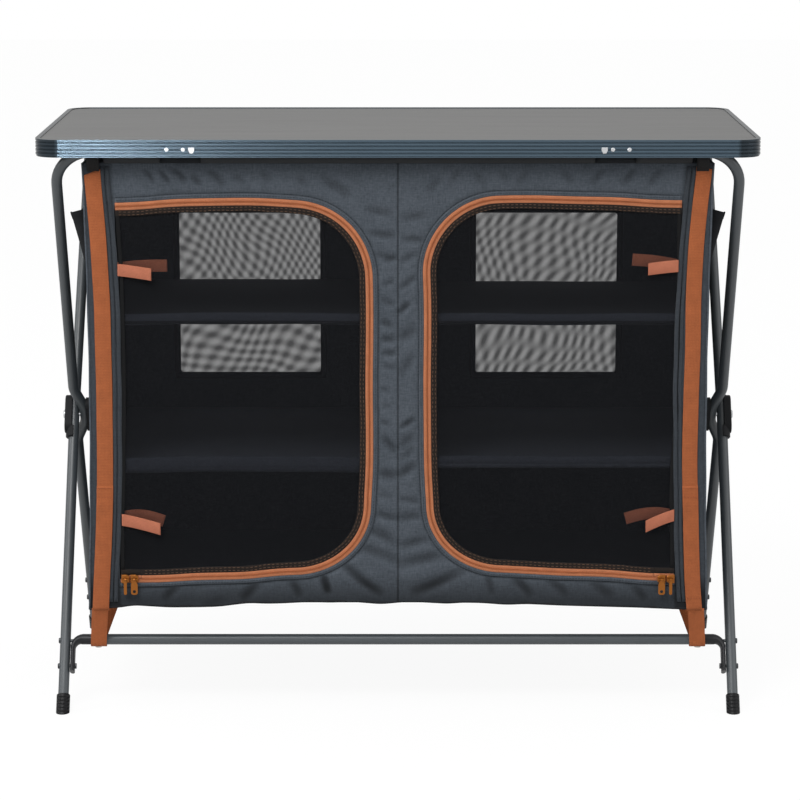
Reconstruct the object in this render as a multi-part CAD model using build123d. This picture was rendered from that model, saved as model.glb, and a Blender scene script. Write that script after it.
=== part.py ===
from build123d import *

import math
import os

os.makedirs("parts", exist_ok=True)

# Camping cupboard. Millimetres, X right, Y back, Z up, floor at Z = 0, origin under the middle.

# Table top
table_width = 1060
table_depth = 510
table_height = 865
table_corner_radius = 36
panel_thickness = 7
edge_height = 26
edge_wall = 4
edge_lip = 7
edge_lip_thickness = 1.2
edge_lip_seat = 0.3
edge_lip_gap = 0.2
edge_ledge = 4
edge_ledge_thickness = 2
rib_count = 5
rib_depth = 1.3
rib_crest_share = 0.56
batten_count = 3
batten_width = 34
batten_height = 9
batten_wall = 1.5
batten_spacing = 300
batten_gap_to_bar = 16
clip_spacing = 636
clip_length = 54
clip_lip_drop = 12
clip_inner_lip_drop = 3.5
clip_inner_lip = 5
rivet_offsets = (-6, 18)
stud_offset = -18
edge_rivet_radius = 3
edge_rivet_height = 1.2
edge_rivet_drop = 14.3
stud_size = 9
stud_height = 1.6
stud_drop = 15.5

# Tube frame
tube_diameter = 16
tube_wall = 1.2
top_bar_inset = 19
top_bar_drop = 2.4
top_bend_radius = 58
pivot_height = 410
foot_inset = 10
front_top_half_width = 501
front_top_foot_half_width = 503
rear_top_half_width = 494
rear_top_foot_half_width = 505
crossing_gap = 0.6
joggle_flat = 14
joggle_reach = 50
joggle_bend_radius = 34
kink_radius = 160
pivot_radius = 3
pivot_clearance = 0.06
pivot_head_radius = 6.5
pivot_head_height = 2.6

# Plastic brackets at the crossing
bracket_length = 62
bracket_width = 24
outer_bracket_wall = 6
inner_bracket_wall = 3.5
bracket_grip = 5
bracket_edge_radius = 2
collar_length = 18
collar_wall = 4
collar_start = 21
bracket_clearance = 0.15

# Feet
foot_radius = 10.2
foot_length = 28
foot_sole = 3.5
foot_edge_radius = 1.6

# Lower bars
lower_bar_height = 98
lower_bar_bend_radius = 14
lower_bar_end_height = 54
flat_thickness = 7.5
flat_width = 20
leg_clearance = 0.4
bar_rivet_heights = (96, 62)
bar_rivet_depth = 9
bar_rivet_radius = 2.4
bar_rivet_head_radius = 4.2
bar_rivet_head_height = 2.2
rivet_seat = 1.2

# Fabric cabinet
cabinet_half_width_top = 462
cabinet_half_width_waist = 457
cabinet_half_width_base = 464
cabinet_set_back = 11
cabinet_drop = 36
cabinet_base = 155
hem_arch = 12
fabric = 2.5
sheet_clearance = 0.3
wall_gap = 0.15
shelf_shares = (0.334, 0.656)
shelf_thickness = 10
floor_board_thickness = 4
shelf_edge_radius = 4
shelf_gap = 0.3
window_centre_x = 240
window_width = 230
window_head = 130
window_height = 264
window_radius = 14
mesh = 1.2
window_overlap = 8

# Doors and zips
door_inner_x = 43
door_hinge_x = 415
door_bottom = 203
door_head = 61
door_radius = 107
zip_width = 11
zip_gap = 0.4
zip_thickness = 1.6
opening_margin = 1
binding_width = 9
binding_thickness = 1.4
hinge_binding_width = 10
zip_free_end = 30
slider_length = 12
slider_height = 13
slider_thickness = 3.6
slider_clearance = 0.4
slider_positions = (-1, 12.5)
bail_thickness = 1.4
bail_height = 4
bail_length = 9
pull_length = 23
pull_width = 10
pull_edge_width = 4.5
pull_thickness = 1.6
pull_ring_radius = 2.4
pull_clearance = 0.35

# Tie-back tabs
tie_width = 18
tie_thickness = 1.5
tie_lengths = (50, 52)
tie_insets = (106, 75)
tie_hinge_gap = 3
inner_tie_length = 70
inner_tie_rise = 8

# Webbing
strap_width = 25
strap_thickness = 2
strap_centre_top = 449
strap_centre_waist = 439
strap_centre_base = 448
strap_loop_centre = 455
loop_thickness = 1.8
loop_gap = 0.3
loop_top = 152
loop_spread = 24
snap_radius = 5
snap_height = 2
sleeve_half_width = 430
sleeve_thickness = 1.2
sleeve_gap = 0.2
sleeve_cut_margin = 3
hang_loop_width = 18
hang_loop_centre = 446
hang_loop_gap = 0.3

# Side pockets
pocket_half_length = 190
pocket_head = 72
pocket_flare = 93
pocket_height = 257
pocket_mouth = 21
pocket_flat_gap = 3.5
pocket_skin = 1.5

# Worked out from the sizes above
tube_radius = tube_diameter / 2
panel_underside = table_height - edge_lip_thickness - panel_thickness
top_bar_half_depth = table_depth / 2 - top_bar_inset
foot_half_depth = table_depth / 2 - foot_inset
top_bar_height = panel_underside - top_bar_drop - tube_radius
foot_tube_end = foot_sole + 3
joggle_half_width = rear_top_foot_half_width - tube_diameter - crossing_gap
cabinet_half_depth = top_bar_half_depth - cabinet_set_back
cabinet_top = table_height - cabinet_drop
shelf_heights = [cabinet_base + share * (cabinet_top - cabinet_base) for share in shelf_shares]
window_bottom = cabinet_top - window_head - window_height
door_top = cabinet_top - door_head
tie_heights = (door_top - tie_insets[0], door_bottom + tie_insets[1])
pocket_top = cabinet_top - pocket_head
pocket_flare_start = pocket_top - pocket_flare
pocket_bottom = pocket_top - pocket_height
front_face = -cabinet_half_depth
zip_half = (zip_width - zip_gap) / 2
door_front = front_face - zip_thickness


def mirrored(shape):
    """The shape and its mirror image across the middle, as separate solids."""
    return [shape, mirror(shape, about=Plane.YZ)]


def save(node, *shapes):
    """Write the solids of one node to its STEP file."""
    solids = [solid for shape in shapes for solid in shape.solids()]
    export_step(Compound(label=node, children=solids), f"parts/{node}.step")


def block(x, y, z):
    """A box between pairs of limits."""
    size = (x[1] - x[0], y[1] - y[0], z[1] - z[0])
    middle = ((x[0] + x[1]) / 2, (y[0] + y[1]) / 2, (z[0] + z[1]) / 2)
    return Pos(*middle) * Box(*size)


def upright(face, y_front, thickness):
    """Extrude a face drawn in X and Z backwards from y_front."""
    plane = Plane(origin=(0, y_front, 0), x_dir=(1, 0, 0), z_dir=(0, -1, 0))
    return extrude(plane * face, amount=-thickness)


def rod_x(x, y, z, radius):
    """A rod along X between two x values."""
    plane = Plane(origin=(x[0], y, z), x_dir=(0, 1, 0), z_dir=(1, 0, 0))
    return extrude(plane * Circle(radius), amount=x[1] - x[0])


def sweep_round(path, radius):
    """A round rod along a path."""
    section = Plane(origin=path @ 0, z_dir=path % 0)
    return sweep(section * Circle(radius), path=path)


def tube(path):
    """A round tube along a path, open at both ends."""
    return sweep_round(path, tube_radius) - sweep_round(path, tube_radius - tube_wall)


# Table


def table_outline(inset):
    """The table's outline, drawn inwards by inset."""
    return RectangleRounded(table_width - 2 * inset, table_depth - 2 * inset, table_corner_radius - inset)


def build_table_panel():
    """Laminate panel in the edging's channel, with its rim pressed down under the lip."""
    rim = extrude(table_outline(edge_wall), amount=panel_thickness - edge_lip_seat)
    field = extrude(table_outline(edge_lip + edge_lip_gap), amount=panel_thickness)
    return Pos(0, 0, panel_underside) * (rim + field)


def edge_section_points():
    """Edging section as distance in from the outline and height."""
    pitch = edge_height / rib_count
    slope = pitch * (1 - rib_crest_share) / 3
    base = table_height - edge_height
    lip_bottom = table_height - edge_lip_thickness - edge_lip_seat
    ledge_bottom = panel_underside - edge_ledge_thickness
    points = [(edge_lip, lip_bottom), (edge_lip, table_height)]
    for rib in range(rib_count):
        top = table_height - rib * pitch
        crest = top - rib_crest_share * pitch
        points += [(0, top), (0, crest)]
        if rib < rib_count - 1:
            points += [(rib_depth, crest - slope), (rib_depth, top - pitch + slope)]
    points += [(rib_depth, points[-1][1] - slope), (rib_depth, base), (edge_wall, base)]
    points += [(edge_wall, ledge_bottom), (edge_wall + edge_ledge, ledge_bottom)]
    points += [(edge_wall + edge_ledge, panel_underside), (edge_wall, panel_underside), (edge_wall, lip_bottom)]
    return points


def build_table_edge():
    """Ribbed channel section carried round the table's outline."""
    half_width = table_width / 2
    half_depth = table_depth / 2
    corners = [(half_width, -half_depth), (half_width, half_depth)]
    corners += [(-half_width, half_depth), (-half_width, -half_depth)]
    path = FilletPolyline(*corners, radius=table_corner_radius, close=True)
    start = path @ 0
    along = path % 0
    inward = Vector(0, 0, 1).cross(along)
    section = Plane(origin=start, x_dir=inward, z_dir=along)
    lift = 1 if section.y_dir.Z > 0 else -1
    outline = Polyline(*[(inset, lift * height) for inset, height in edge_section_points()], close=True)
    return sweep(section * make_face(outline), path=path)


def build_battens():
    """Folded channels across the underside of the panel, between the top bars."""
    half_length = top_bar_half_depth - tube_radius - batten_gap_to_bar
    low = panel_underside - batten_height
    half = batten_width / 2
    battens = []
    for index in range(batten_count):
        x = (index - (batten_count - 1) / 2) * batten_spacing
        outer = block((x - half, x + half), (-half_length, half_length), (low, panel_underside))
        hollow = block(
            (x - half + batten_wall, x + half - batten_wall),
            (-half_length, half_length),
            (low + batten_wall, panel_underside),
        )
        battens.append(outer - hollow)
    return battens


def build_clips():
    """Saddles under the panel, each over a top bar, with a long lip on the outer side."""
    edge_inside = table_depth / 2 - edge_wall - edge_ledge
    inner = top_bar_half_depth - tube_radius - sheet_clearance - clip_inner_lip
    low = panel_underside - clip_lip_drop
    clips = []
    for side in (-1, 1):
        for end in (-1, 1):
            x = side * clip_spacing / 2
            limits = (x - clip_length / 2, x + clip_length / 2)
            body = block(limits, (inner, edge_inside), (low, panel_underside))
            groove = rod_x(limits, top_bar_half_depth, top_bar_height, tube_radius + sheet_clearance)
            inner_cut = block(limits, (inner, top_bar_half_depth), (low, panel_underside - clip_inner_lip_drop))
            under = block(limits, (inner, top_bar_half_depth + tube_radius), (low, top_bar_height))
            clip = body - groove - inner_cut - under
            clips.append(clip if end > 0 else mirror(clip, about=Plane.XZ))
    return clips


def build_edge_rivets():
    """Pop rivet heads on the edging, two for each clip."""
    z = table_height - edge_rivet_drop
    face = table_depth / 2 - rib_depth
    heads = []
    for side in (-1, 1):
        for offset in rivet_offsets:
            x = side * (clip_spacing / 2 + offset)
            plane = Plane(origin=(x, face, z), x_dir=(1, 0, 0), z_dir=(0, 1, 0))
            head = extrude(plane * Circle(edge_rivet_radius), amount=rib_depth + edge_rivet_height)
            head = chamfer(head.faces().sort_by(Axis.Y)[-1].edges(), edge_rivet_height * 0.6)
            heads += [head, mirror(head, about=Plane.XZ)]
    return heads


def build_clip_studs():
    """Shield shaped stud heads on the edging, one for each clip."""
    z = table_height - stud_drop
    face = table_depth / 2 - rib_depth
    half = stud_size / 2
    outline = [(-half, half), (half, half), (half, 0), (half * 0.45, -half), (-half * 0.45, -half), (-half, 0)]
    studs = []
    for side in (-1, 1):
        x = side * (clip_spacing / 2 + stud_offset)
        plane = Plane(origin=(x, -face, z), x_dir=(1, 0, 0), z_dir=(0, -1, 0))
        stud = extrude(plane * make_face(Polyline(*outline, close=True)), amount=rib_depth + stud_height)
        stud = chamfer(stud.faces().sort_by(Axis.Y)[0].edges(), stud_height * 0.4)
        studs += [stud, mirror(stud, about=Plane.XZ)]
    return studs


# Tube frame


def lerp(a, b, t):
    """The value a share t of the way from a to b."""
    return a + (b - a) * t


def leg_point(distance, half_width, side):
    """A point of a crossing leg, by distance along it from the pivot, upwards positive.

    side is the Y sign of the leg's top bar.
    """
    if distance >= 0:
        rise = top_bar_height - pivot_height
        length = math.hypot(top_bar_half_depth, rise)
        return (half_width, side * top_bar_half_depth * distance / length, pivot_height + rise * distance / length)
    length = math.hypot(foot_half_depth, pivot_height)
    return (
        half_width,
        side * foot_half_depth * distance / length,
        pivot_height + pivot_height * distance / length,
    )


def foot_distance(height):
    """Distance along a leg from the pivot to a height near the floor, as leg_point takes it."""
    length = math.hypot(foot_half_depth, pivot_height)
    return -(pivot_height - height) / pivot_height * length


def symmetric_path(points, radii):
    """A filleted path through points on the +X side and their mirror images."""
    other = [(-x, y, z) for x, y, z in reversed(points)]
    return FilletPolyline(*points, *other, radius=radii + radii[::-1])


def front_top_path():
    """Front top bar and its legs, which are set inwards at the crossing."""
    foot = leg_point(foot_distance(foot_tube_end), front_top_foot_half_width, -1)
    points = [
        foot,
        leg_point(-joggle_reach, front_top_foot_half_width, -1),
        leg_point(-joggle_flat, joggle_half_width, -1),
        leg_point(joggle_flat, joggle_half_width, -1),
        leg_point(joggle_reach, front_top_foot_half_width, -1),
        (front_top_half_width, -top_bar_half_depth, top_bar_height),
    ]
    return symmetric_path(points, [joggle_bend_radius] * 4 + [top_bend_radius])


def rear_top_path():
    """Rear top bar and its legs, which lean in above the pivot."""
    points = [
        leg_point(foot_distance(foot_tube_end), rear_top_foot_half_width, 1),
        leg_point(0, rear_top_foot_half_width, 1),
        (rear_top_half_width, top_bar_half_depth, top_bar_height),
    ]
    return symmetric_path(points, [kink_radius, top_bend_radius])


def leg_direction(side):
    """Unit vector down the lower half of a leg, away from the pivot."""
    low = Vector(*leg_point(-1, 0, side))
    return (low - Vector(0, 0, pivot_height)).normalized()


def lower_bar(half_width, side):
    """Cross bar whose round ends bend down and flatten against the inside of the legs.

    side is the Y sign of the top bar of the frame that carries it.
    """
    _, y, z = leg_point(foot_distance(lower_bar_height), 0, side)
    down = leg_direction(side)
    flat_centre = half_width - tube_radius - leg_clearance - flat_thickness / 2
    bend_start = flat_centre - lower_bar_bend_radius
    tail = (lower_bar_height - lower_bar_end_height) / -down.Z - lower_bar_bend_radius
    across = Vector(1, 0, 0).cross(down)
    sections = []
    for step in range(5):
        share = step / 4
        angle = math.pi / 2 * share
        centre = Vector(bend_start + lower_bar_bend_radius * math.sin(angle), y, z)
        centre += down * (lower_bar_bend_radius * (1 - math.cos(angle)))
        along = Vector(math.cos(angle), 0, 0) + down * math.sin(angle)
        plane = Plane(origin=centre, x_dir=across, z_dir=along)
        wide = lerp(tube_radius, flat_width / 2, share)
        thin = lerp(tube_radius, flat_thickness / 2, share)
        sections.append(plane * Ellipse(wide, thin))
    end = loft(sections)
    end += extrude(sections[-1], amount=tail)
    middle = rod_x((-bend_start, bend_start), y, z, tube_radius)
    return middle + end + mirror(end, about=Plane.YZ)


def bar_rivets(half_width, side):
    """Rivets through the legs and the ends of a lower bar; the lower one of each pair has a nut inside."""
    rivets = []
    inside = half_width - tube_radius - leg_clearance - flat_thickness
    outside = half_width + tube_radius
    for height in bar_rivet_heights:
        _, y, z = leg_point(foot_distance(height), 0, side)
        outer = rod_x((outside - rivet_seat, outside + bar_rivet_head_height), y, z, bar_rivet_head_radius)
        outer = fillet(outer.faces().sort_by(Axis.X)[-1].edges(), bar_rivet_head_height * 0.5)
        if height == max(bar_rivet_heights):
            shank_end = half_width - tube_radius - bar_rivet_depth
            rivet = outer + rod_x((shank_end, outside), y, z, bar_rivet_radius)
        else:
            shank_end = inside - bar_rivet_head_height
            rivet = outer + rod_x((shank_end, outside), y, z, bar_rivet_radius)
            rivet += rod_x((shank_end, inside), y, z, bar_rivet_head_radius)
        rivets += mirrored(rivet)
    return rivets


def foot_caps(half_width, side):
    """Plastic caps on the leg ends, cut flat on the floor."""
    axis = leg_direction(side)
    low = Vector(*leg_point(foot_distance(0), half_width, side)) + axis * foot_radius
    plane = Plane(origin=low, x_dir=(1, 0, 0), z_dir=axis * -1)
    cap = extrude(plane * Circle(foot_radius), amount=foot_length + foot_radius)
    cap = fillet(cap.faces().sort_by(Axis.Z)[-1].edges().sort_by(Axis.Z)[-1], foot_edge_radius)
    end = Vector(*leg_point(foot_distance(foot_tube_end), half_width, side))
    socket = Plane(origin=end, x_dir=(1, 0, 0), z_dir=axis * -1)
    cap -= extrude(socket * Circle(tube_radius), amount=foot_length * 2)
    floor = block((0, 2 * half_width), (-2 * foot_half_depth, 2 * foot_half_depth), (-4 * foot_radius, 0))
    return mirrored(cap - floor)


def pivot_rod(x, radius):
    return rod_x(x, 0, pivot_height, radius)


def pivot_pins():
    """Rivets through both legs at each crossing, with a head at each end."""
    outside = rear_top_foot_half_width + tube_radius + outer_bracket_wall
    inside = joggle_half_width - tube_radius - inner_bracket_wall - sheet_clearance
    shank = pivot_rod((inside - pivot_head_height, outside), pivot_radius)
    outer = pivot_rod((outside, outside + pivot_head_height), pivot_head_radius)
    outer = fillet(outer.faces().sort_by(Axis.X)[-1].edges(), pivot_head_height * 0.6)
    inner = pivot_rod((inside - pivot_head_height, inside), pivot_head_radius)
    return mirrored(shank + outer + inner)


def bracket_plane(x, side):
    """A plane across X at the pivot whose own Y runs up along a leg."""
    up = leg_direction(side) * -1
    return Plane(origin=(x, 0, pivot_height), x_dir=Vector(1, 0, 0).cross(up) * -1, z_dir=(1, 0, 0))


def slot_pad(x, side, length, width, thickness):
    """A round ended pad that lies along a leg, standing out in X from x."""
    pad = bracket_plane(x, side) * SlotOverall(length, width, rotation=90)
    return extrude(pad, amount=thickness)


def outer_brackets(tube_path):
    """Black brackets that grip the outer side of the rear frame's legs at the pivot."""
    start = rear_top_foot_half_width + tube_radius - bracket_grip
    reach = rear_top_foot_half_width + tube_radius + outer_bracket_wall
    pad = slot_pad(start, 1, bracket_length, bracket_width, reach - start)
    pad = fillet(pad.faces().sort_by(Axis.X)[-1].edges(), bracket_edge_radius)
    down = leg_direction(1)
    collar_plane = Plane(
        origin=Vector(rear_top_foot_half_width, 0, pivot_height) + down * collar_start,
        x_dir=(1, 0, 0),
        z_dir=down,
    )
    collar = extrude(collar_plane * Circle(tube_radius + collar_wall), amount=collar_length)
    collar = chamfer(collar.faces().filter_by(GeomType.PLANE).edges(), 1)
    inner_side = block(
        (rear_top_foot_half_width - 4 * tube_radius, rear_top_foot_half_width),
        (-bracket_length, bracket_length),
        (pivot_height - 2 * bracket_length, pivot_height + bracket_length),
    )
    bracket = pad + (collar - inner_side)
    bracket -= sweep_round(tube_path, tube_radius + bracket_clearance)
    bracket -= pivot_rod((start - tube_radius, reach + 1), pivot_radius)
    return mirrored(bracket)


def inner_brackets(tube_path):
    """Black brackets that grip the inner side of the front frame's legs at the pivot."""
    start = joggle_half_width - tube_radius - inner_bracket_wall
    reach = joggle_half_width - tube_radius + bracket_grip
    pad = slot_pad(start, -1, bracket_length, bracket_width, reach - start)
    pad = fillet(pad.faces().sort_by(Axis.X)[0].edges(), bracket_edge_radius)
    pad -= sweep_round(tube_path, tube_radius + bracket_clearance)
    pad -= pivot_rod((start - 1, reach + tube_radius), pivot_radius + pivot_clearance)
    return mirrored(pad)


# Fabric cabinet


def side_arc(inset):
    """The cabinet's drawn-in side line on the +X side, from base to top."""
    middle = (cabinet_half_width_waist - inset, (cabinet_top + cabinet_base) / 2)
    base = (cabinet_half_width_base - inset, cabinet_base)
    top = (cabinet_half_width_top - inset, cabinet_top)
    return base, middle, top


def front_outline():
    """Outline of the front and back panels, with the base edge arched up."""
    base, middle, top = side_arc(0)
    right = ThreePointArc(base, middle, top)
    left = ThreePointArc((-top[0], top[1]), (-middle[0], middle[1]), (-base[0], base[1]))
    hem = ThreePointArc((-base[0], base[1]), (0, cabinet_base + hem_arch), base)
    return make_face([right, Line(top, (-top[0], top[1])), left, hem])


def side_panels():
    """Side walls between the front and back panels."""
    outer = side_arc(0)
    inner = side_arc(fabric)
    lines = [
        ThreePointArc(*outer),
        Line(outer[2], inner[2]),
        ThreePointArc(*inner),
        Line(inner[0], outer[0]),
    ]
    wall = upright(make_face(lines), front_face + fabric, 2 * (cabinet_half_depth - fabric))
    return mirrored(wall)


def door_outline(offset):
    """The D shape of a door on the +X side, grown outwards by offset."""
    left = door_inner_x - offset
    right = door_hinge_x + offset
    low = door_bottom - offset
    high = door_top + offset
    radius = door_radius + offset
    corner = radius * (1 - math.sqrt(0.5))
    lines = [
        Line((right, low), (right, high)),
        Line((right, high), (left + radius, high)),
        ThreePointArc((left + radius, high), (left + corner, high - corner), (left, high - radius)),
        Line((left, high - radius), (left, low + radius)),
        ThreePointArc((left, low + radius), (left + corner, low + corner), (left + radius, low)),
        Line((left + radius, low), (right, low)),
    ]
    return make_face(lines)


def front_panel():
    """Front fabric panel with its two door openings."""
    panel = upright(front_outline(), front_face, fabric)
    opening = upright(door_outline(opening_margin), front_face - 1, fabric + 2)
    for hole in mirrored(opening):
        panel -= hole
    return panel


def window_face(margin):
    middle = window_bottom + window_height / 2
    frame = RectangleRounded(window_width + 2 * margin, window_height + 2 * margin, window_radius)
    return Pos(window_centre_x, middle) * frame


def back_panel():
    """Back fabric panel with its two window openings."""
    start = cabinet_half_depth - fabric
    panel = upright(front_outline(), start, fabric)
    for hole in mirrored(upright(window_face(0), start - 1, fabric + 2)):
        panel -= hole
    return panel


def back_windows():
    """Mesh sheets sewn behind the window openings, on the inner face of the back panel."""
    return mirrored(upright(window_face(window_overlap), cabinet_half_depth - fabric - mesh, mesh))


def roof_panel():
    inner = wall_x(cabinet_top - fabric, fabric) - wall_gap
    depth = cabinet_half_depth - fabric
    return block((-inner, inner), (-depth, depth), (cabinet_top - fabric, cabinet_top))


def floor_panel():
    low = cabinet_base + hem_arch
    inner = wall_x(low + fabric, fabric) - wall_gap
    depth = cabinet_half_depth - fabric
    return block((-inner, inner), (-depth, depth), (low, low + fabric))


def centre_divider():
    depth = cabinet_half_depth - fabric
    low = cabinet_base + hem_arch + fabric
    return block((-fabric / 2, fabric / 2), (-depth, depth), (low, cabinet_top - fabric))


def shelf_block(top, thickness):
    """A board that reaches from the divider to the +X side wall and from front to back."""
    side = min(wall_x(top, fabric), wall_x(top - thickness, fabric)) - shelf_gap
    depth = cabinet_half_depth - fabric - mesh - shelf_gap
    return block((fabric / 2 + shelf_gap, side), (-depth, depth), (top - thickness, top))


def floor_boards():
    """Stiff boards that lie on the floor panel."""
    low = cabinet_base + hem_arch + fabric
    return mirrored(shelf_block(low + floor_board_thickness, floor_board_thickness))


def shelf(level, side):
    """One padded shelf board; side is 1 for +X and -1 for -X."""
    board = shelf_block(shelf_heights[level], shelf_thickness)
    board = fillet(board.edges().filter_by(Axis.X), shelf_edge_radius)
    return board if side > 0 else mirror(board, about=Plane.YZ)


def wall_x(z, inset):
    """X of the +X side wall at a height, moved inwards by inset."""
    curve = ThreePointArc(*side_arc(inset))
    t = (z - cabinet_base) / (cabinet_top - cabinet_base)
    return (curve @ t).X


def side_pockets():
    """Flat pockets on the side walls whose mouths stand open."""
    wall_bottom = wall_x(pocket_bottom, 0)
    wall_flare = wall_x(pocket_flare_start, 0)
    wall_top = wall_x(pocket_top, 0)
    inner = [(wall_bottom, pocket_bottom), (wall_flare, pocket_flare_start), (wall_top, pocket_top)]
    outer = [
        (wall_top + pocket_mouth, pocket_top),
        (wall_flare + pocket_flat_gap, pocket_flare_start),
        (wall_bottom + pocket_flat_gap, pocket_bottom),
    ]
    hollow = [
        (wall_top - pocket_mouth, pocket_top + 1),
        (wall_top + pocket_mouth - pocket_skin, pocket_top + 1),
        (wall_flare + pocket_flat_gap - pocket_skin, pocket_flare_start),
        (wall_bottom + pocket_flat_gap - pocket_skin, pocket_bottom + pocket_skin),
        (wall_bottom - pocket_mouth, pocket_bottom + pocket_skin),
    ]
    body = upright(make_face(Polyline(*inner, *outer, close=True)), -pocket_half_length, 2 * pocket_half_length)
    inside = pocket_half_length - pocket_skin
    body -= upright(make_face(Polyline(*hollow, close=True)), -inside, 2 * inside)
    wall = side_arc(0)
    far = cabinet_half_width_waist - 4 * pocket_mouth
    behind = make_face([
        ThreePointArc(*wall),
        Line(wall[2], (far, cabinet_top)),
        Line((far, cabinet_top), (far, cabinet_base)),
        Line((far, cabinet_base), wall[0]),
    ])
    body -= upright(behind, front_face, 2 * cabinet_half_depth)
    return mirrored(body)


# Doors, zips and tie-backs


def ring_face(outer, inner):
    """The band of a door outline between two offsets."""
    return door_outline(outer) - door_outline(inner)


def zip_track():
    """The half of the zip that is sewn to the front panel, open on the hinge side."""
    band = upright(ring_face(zip_gap / 2 + zip_half, zip_gap / 2), front_face - zip_thickness, zip_thickness)
    hinge_side = block(
        (door_hinge_x, door_hinge_x + 4 * zip_width),
        (front_face - 2 * zip_width, front_face + 2 * zip_width),
        (0, table_height),
    )
    closed_end = block(
        (door_hinge_x - zip_free_end + sheet_clearance, door_hinge_x),
        (door_front, front_face),
        (door_bottom - zip_gap, door_bottom + slider_height - sheet_clearance),
    )
    return band - hinge_side + closed_end


def free_corner():
    """Cutter for the corner of a door where the closed sliders sit, over the end of the zip."""
    return block(
        (door_hinge_x - zip_free_end, door_hinge_x + zip_width),
        (front_face - 2 * zip_width, front_face + zip_width),
        (0, door_bottom + slider_height),
    )


def door_mesh():
    """Mesh leaf of a door, cut short at its free lower corner for the sliders."""
    return upright(door_outline(-opening_margin), front_face, mesh) - free_corner()


def door_binding():
    """Zip half and binding round a door, with a narrow binding down the hinge edge."""
    zip_inner = -zip_gap / 2 - zip_half
    zip_band = upright(ring_face(-zip_gap / 2, zip_inner), door_front, zip_thickness)
    hinge_strip = block(
        (door_hinge_x - hinge_binding_width, door_hinge_x + zip_width),
        (front_face - 2 * zip_width, front_face + zip_width),
        (0, table_height),
    )
    zip_band -= hinge_strip
    bound = upright(ring_face(zip_inner, zip_inner - binding_width), front_face - binding_thickness, binding_thickness)
    bound -= hinge_strip
    hinge_side = block(
        (door_hinge_x - hinge_binding_width, door_hinge_x - opening_margin),
        (front_face - binding_thickness, front_face),
        (door_bottom + slider_height, door_top - opening_margin),
    )
    return zip_band + bound + hinge_side - free_corner()


def tie(x, z, front, rise):
    """A webbing tab from x towards the middle, arched by rise."""
    start, end = x
    half = tie_width / 2
    middle = (start + end) / 2
    lines = [
        ThreePointArc((start, z + half), (middle, z + half + rise), (end, z + half)),
        Line((end, z + half), (end, z - half)),
        ThreePointArc((end, z - half), (middle, z - half + rise), (start, z - half)),
        Line((start, z - half), (start, z + half)),
    ]
    return upright(make_face(lines), front, tie_thickness)


def outer_ties():
    """Tabs on the outside of a door, sewn on by its hinge edge."""
    start = door_hinge_x - tie_hinge_gap
    front = front_face - binding_thickness - tie_thickness
    return [tie((start, start - length), z, front, -2) for length, z in zip(tie_lengths, tie_heights)]


def inner_ties():
    """Tabs inside the cabinet, sewn to the back of the front panel."""
    start = door_hinge_x + hinge_binding_width
    front = front_face + fabric
    tabs = [tie((start, start - inner_tie_length), z, front, inner_tie_rise) for z in tie_heights]
    return [tab for pair in tabs for tab in mirrored(pair)]


def slider_x(index):
    """Middle of a slider on the +X door, counted in from the hinge line."""
    return door_hinge_x - slider_length / 2 - slider_positions[index] - 1.5


def slider(index):
    """Zip slider: wedge shaped plate with a bail that carries the pull."""
    x = slider_x(index)
    back = door_front - slider_clearance
    half = slider_length / 2
    tall = slider_height / 2
    outline = [(-half, tall * 0.62), (-half * 0.3, tall), (half, tall), (half, -tall)]
    outline += [(-half * 0.3, -tall), (-half, -tall * 0.62)]
    face = Pos(x, door_bottom) * make_face(Polyline(*outline, close=True))
    plate = upright(face, back - slider_thickness, slider_thickness)
    plate = chamfer(plate.faces().sort_by(Axis.Y)[0].edges(), 0.7)
    front = back - slider_thickness
    half_bail = bail_length / 2
    arch = block(
        (x - half_bail, x + half_bail),
        (front - bail_height, front),
        (door_bottom - bail_thickness / 2, door_bottom + bail_thickness / 2),
    )
    gap = block(
        (x - half_bail + bail_thickness, x + half_bail - bail_thickness),
        (front - bail_height + bail_thickness, front),
        (door_bottom - bail_thickness, door_bottom + bail_thickness),
    )
    return plate + (arch - gap)


def bail_axis_y():
    """Y of the bar of a slider's bail, the axis of its pull."""
    return door_front - slider_clearance - slider_thickness - bail_height + bail_thickness / 2


def pull(index):
    """Pull tab with an eye round the bail's bar; the second one hangs face on."""
    x = slider_x(index)
    y = bail_axis_y()
    eye_inner = bail_thickness / 2 * math.sqrt(2) + pull_clearance
    eye_outer = eye_inner + 0.9
    eye_half = (bail_length / 2 - bail_thickness) * 0.5
    eye = rod_x((x - eye_half, x + eye_half), y, door_bottom, eye_outer)
    eye -= rod_x((x - 2 * eye_half, x + 2 * eye_half), y, door_bottom, eye_inner)
    top = door_bottom - eye_inner
    low = door_bottom - pull_length
    ring_z = low + 2 * pull_ring_radius
    if index == 0:
        half = pull_edge_width / 2
        tab = block((x - half, x + half), (y - pull_thickness / 2, y + pull_thickness / 2), (low, top))
        tab = fillet(tab.edges().filter_by(Axis.Y).group_by(Axis.Z)[0], half * 0.9)
    else:
        half = pull_width / 2
        outline = [(-half * 0.5, top), (half * 0.5, top), (half, top - half * 1.2), (half, low), (-half, low)]
        outline += [(-half, top - half * 1.2)]
        face = Pos(x, 0) * make_face(Polyline(*outline, close=True))
        tab = upright(face, y - pull_thickness / 2, pull_thickness)
        tab = fillet(tab.edges().filter_by(Axis.Y).group_by(Axis.Z)[0], half * 0.7)
        plane = Plane(origin=(x, y, ring_z), x_dir=(1, 0, 0), z_dir=(0, 1, 0))
        tab -= extrude(plane * Circle(pull_ring_radius), amount=pull_thickness, both=True)
    return eye + tab


# Webbing and sleeves


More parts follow.
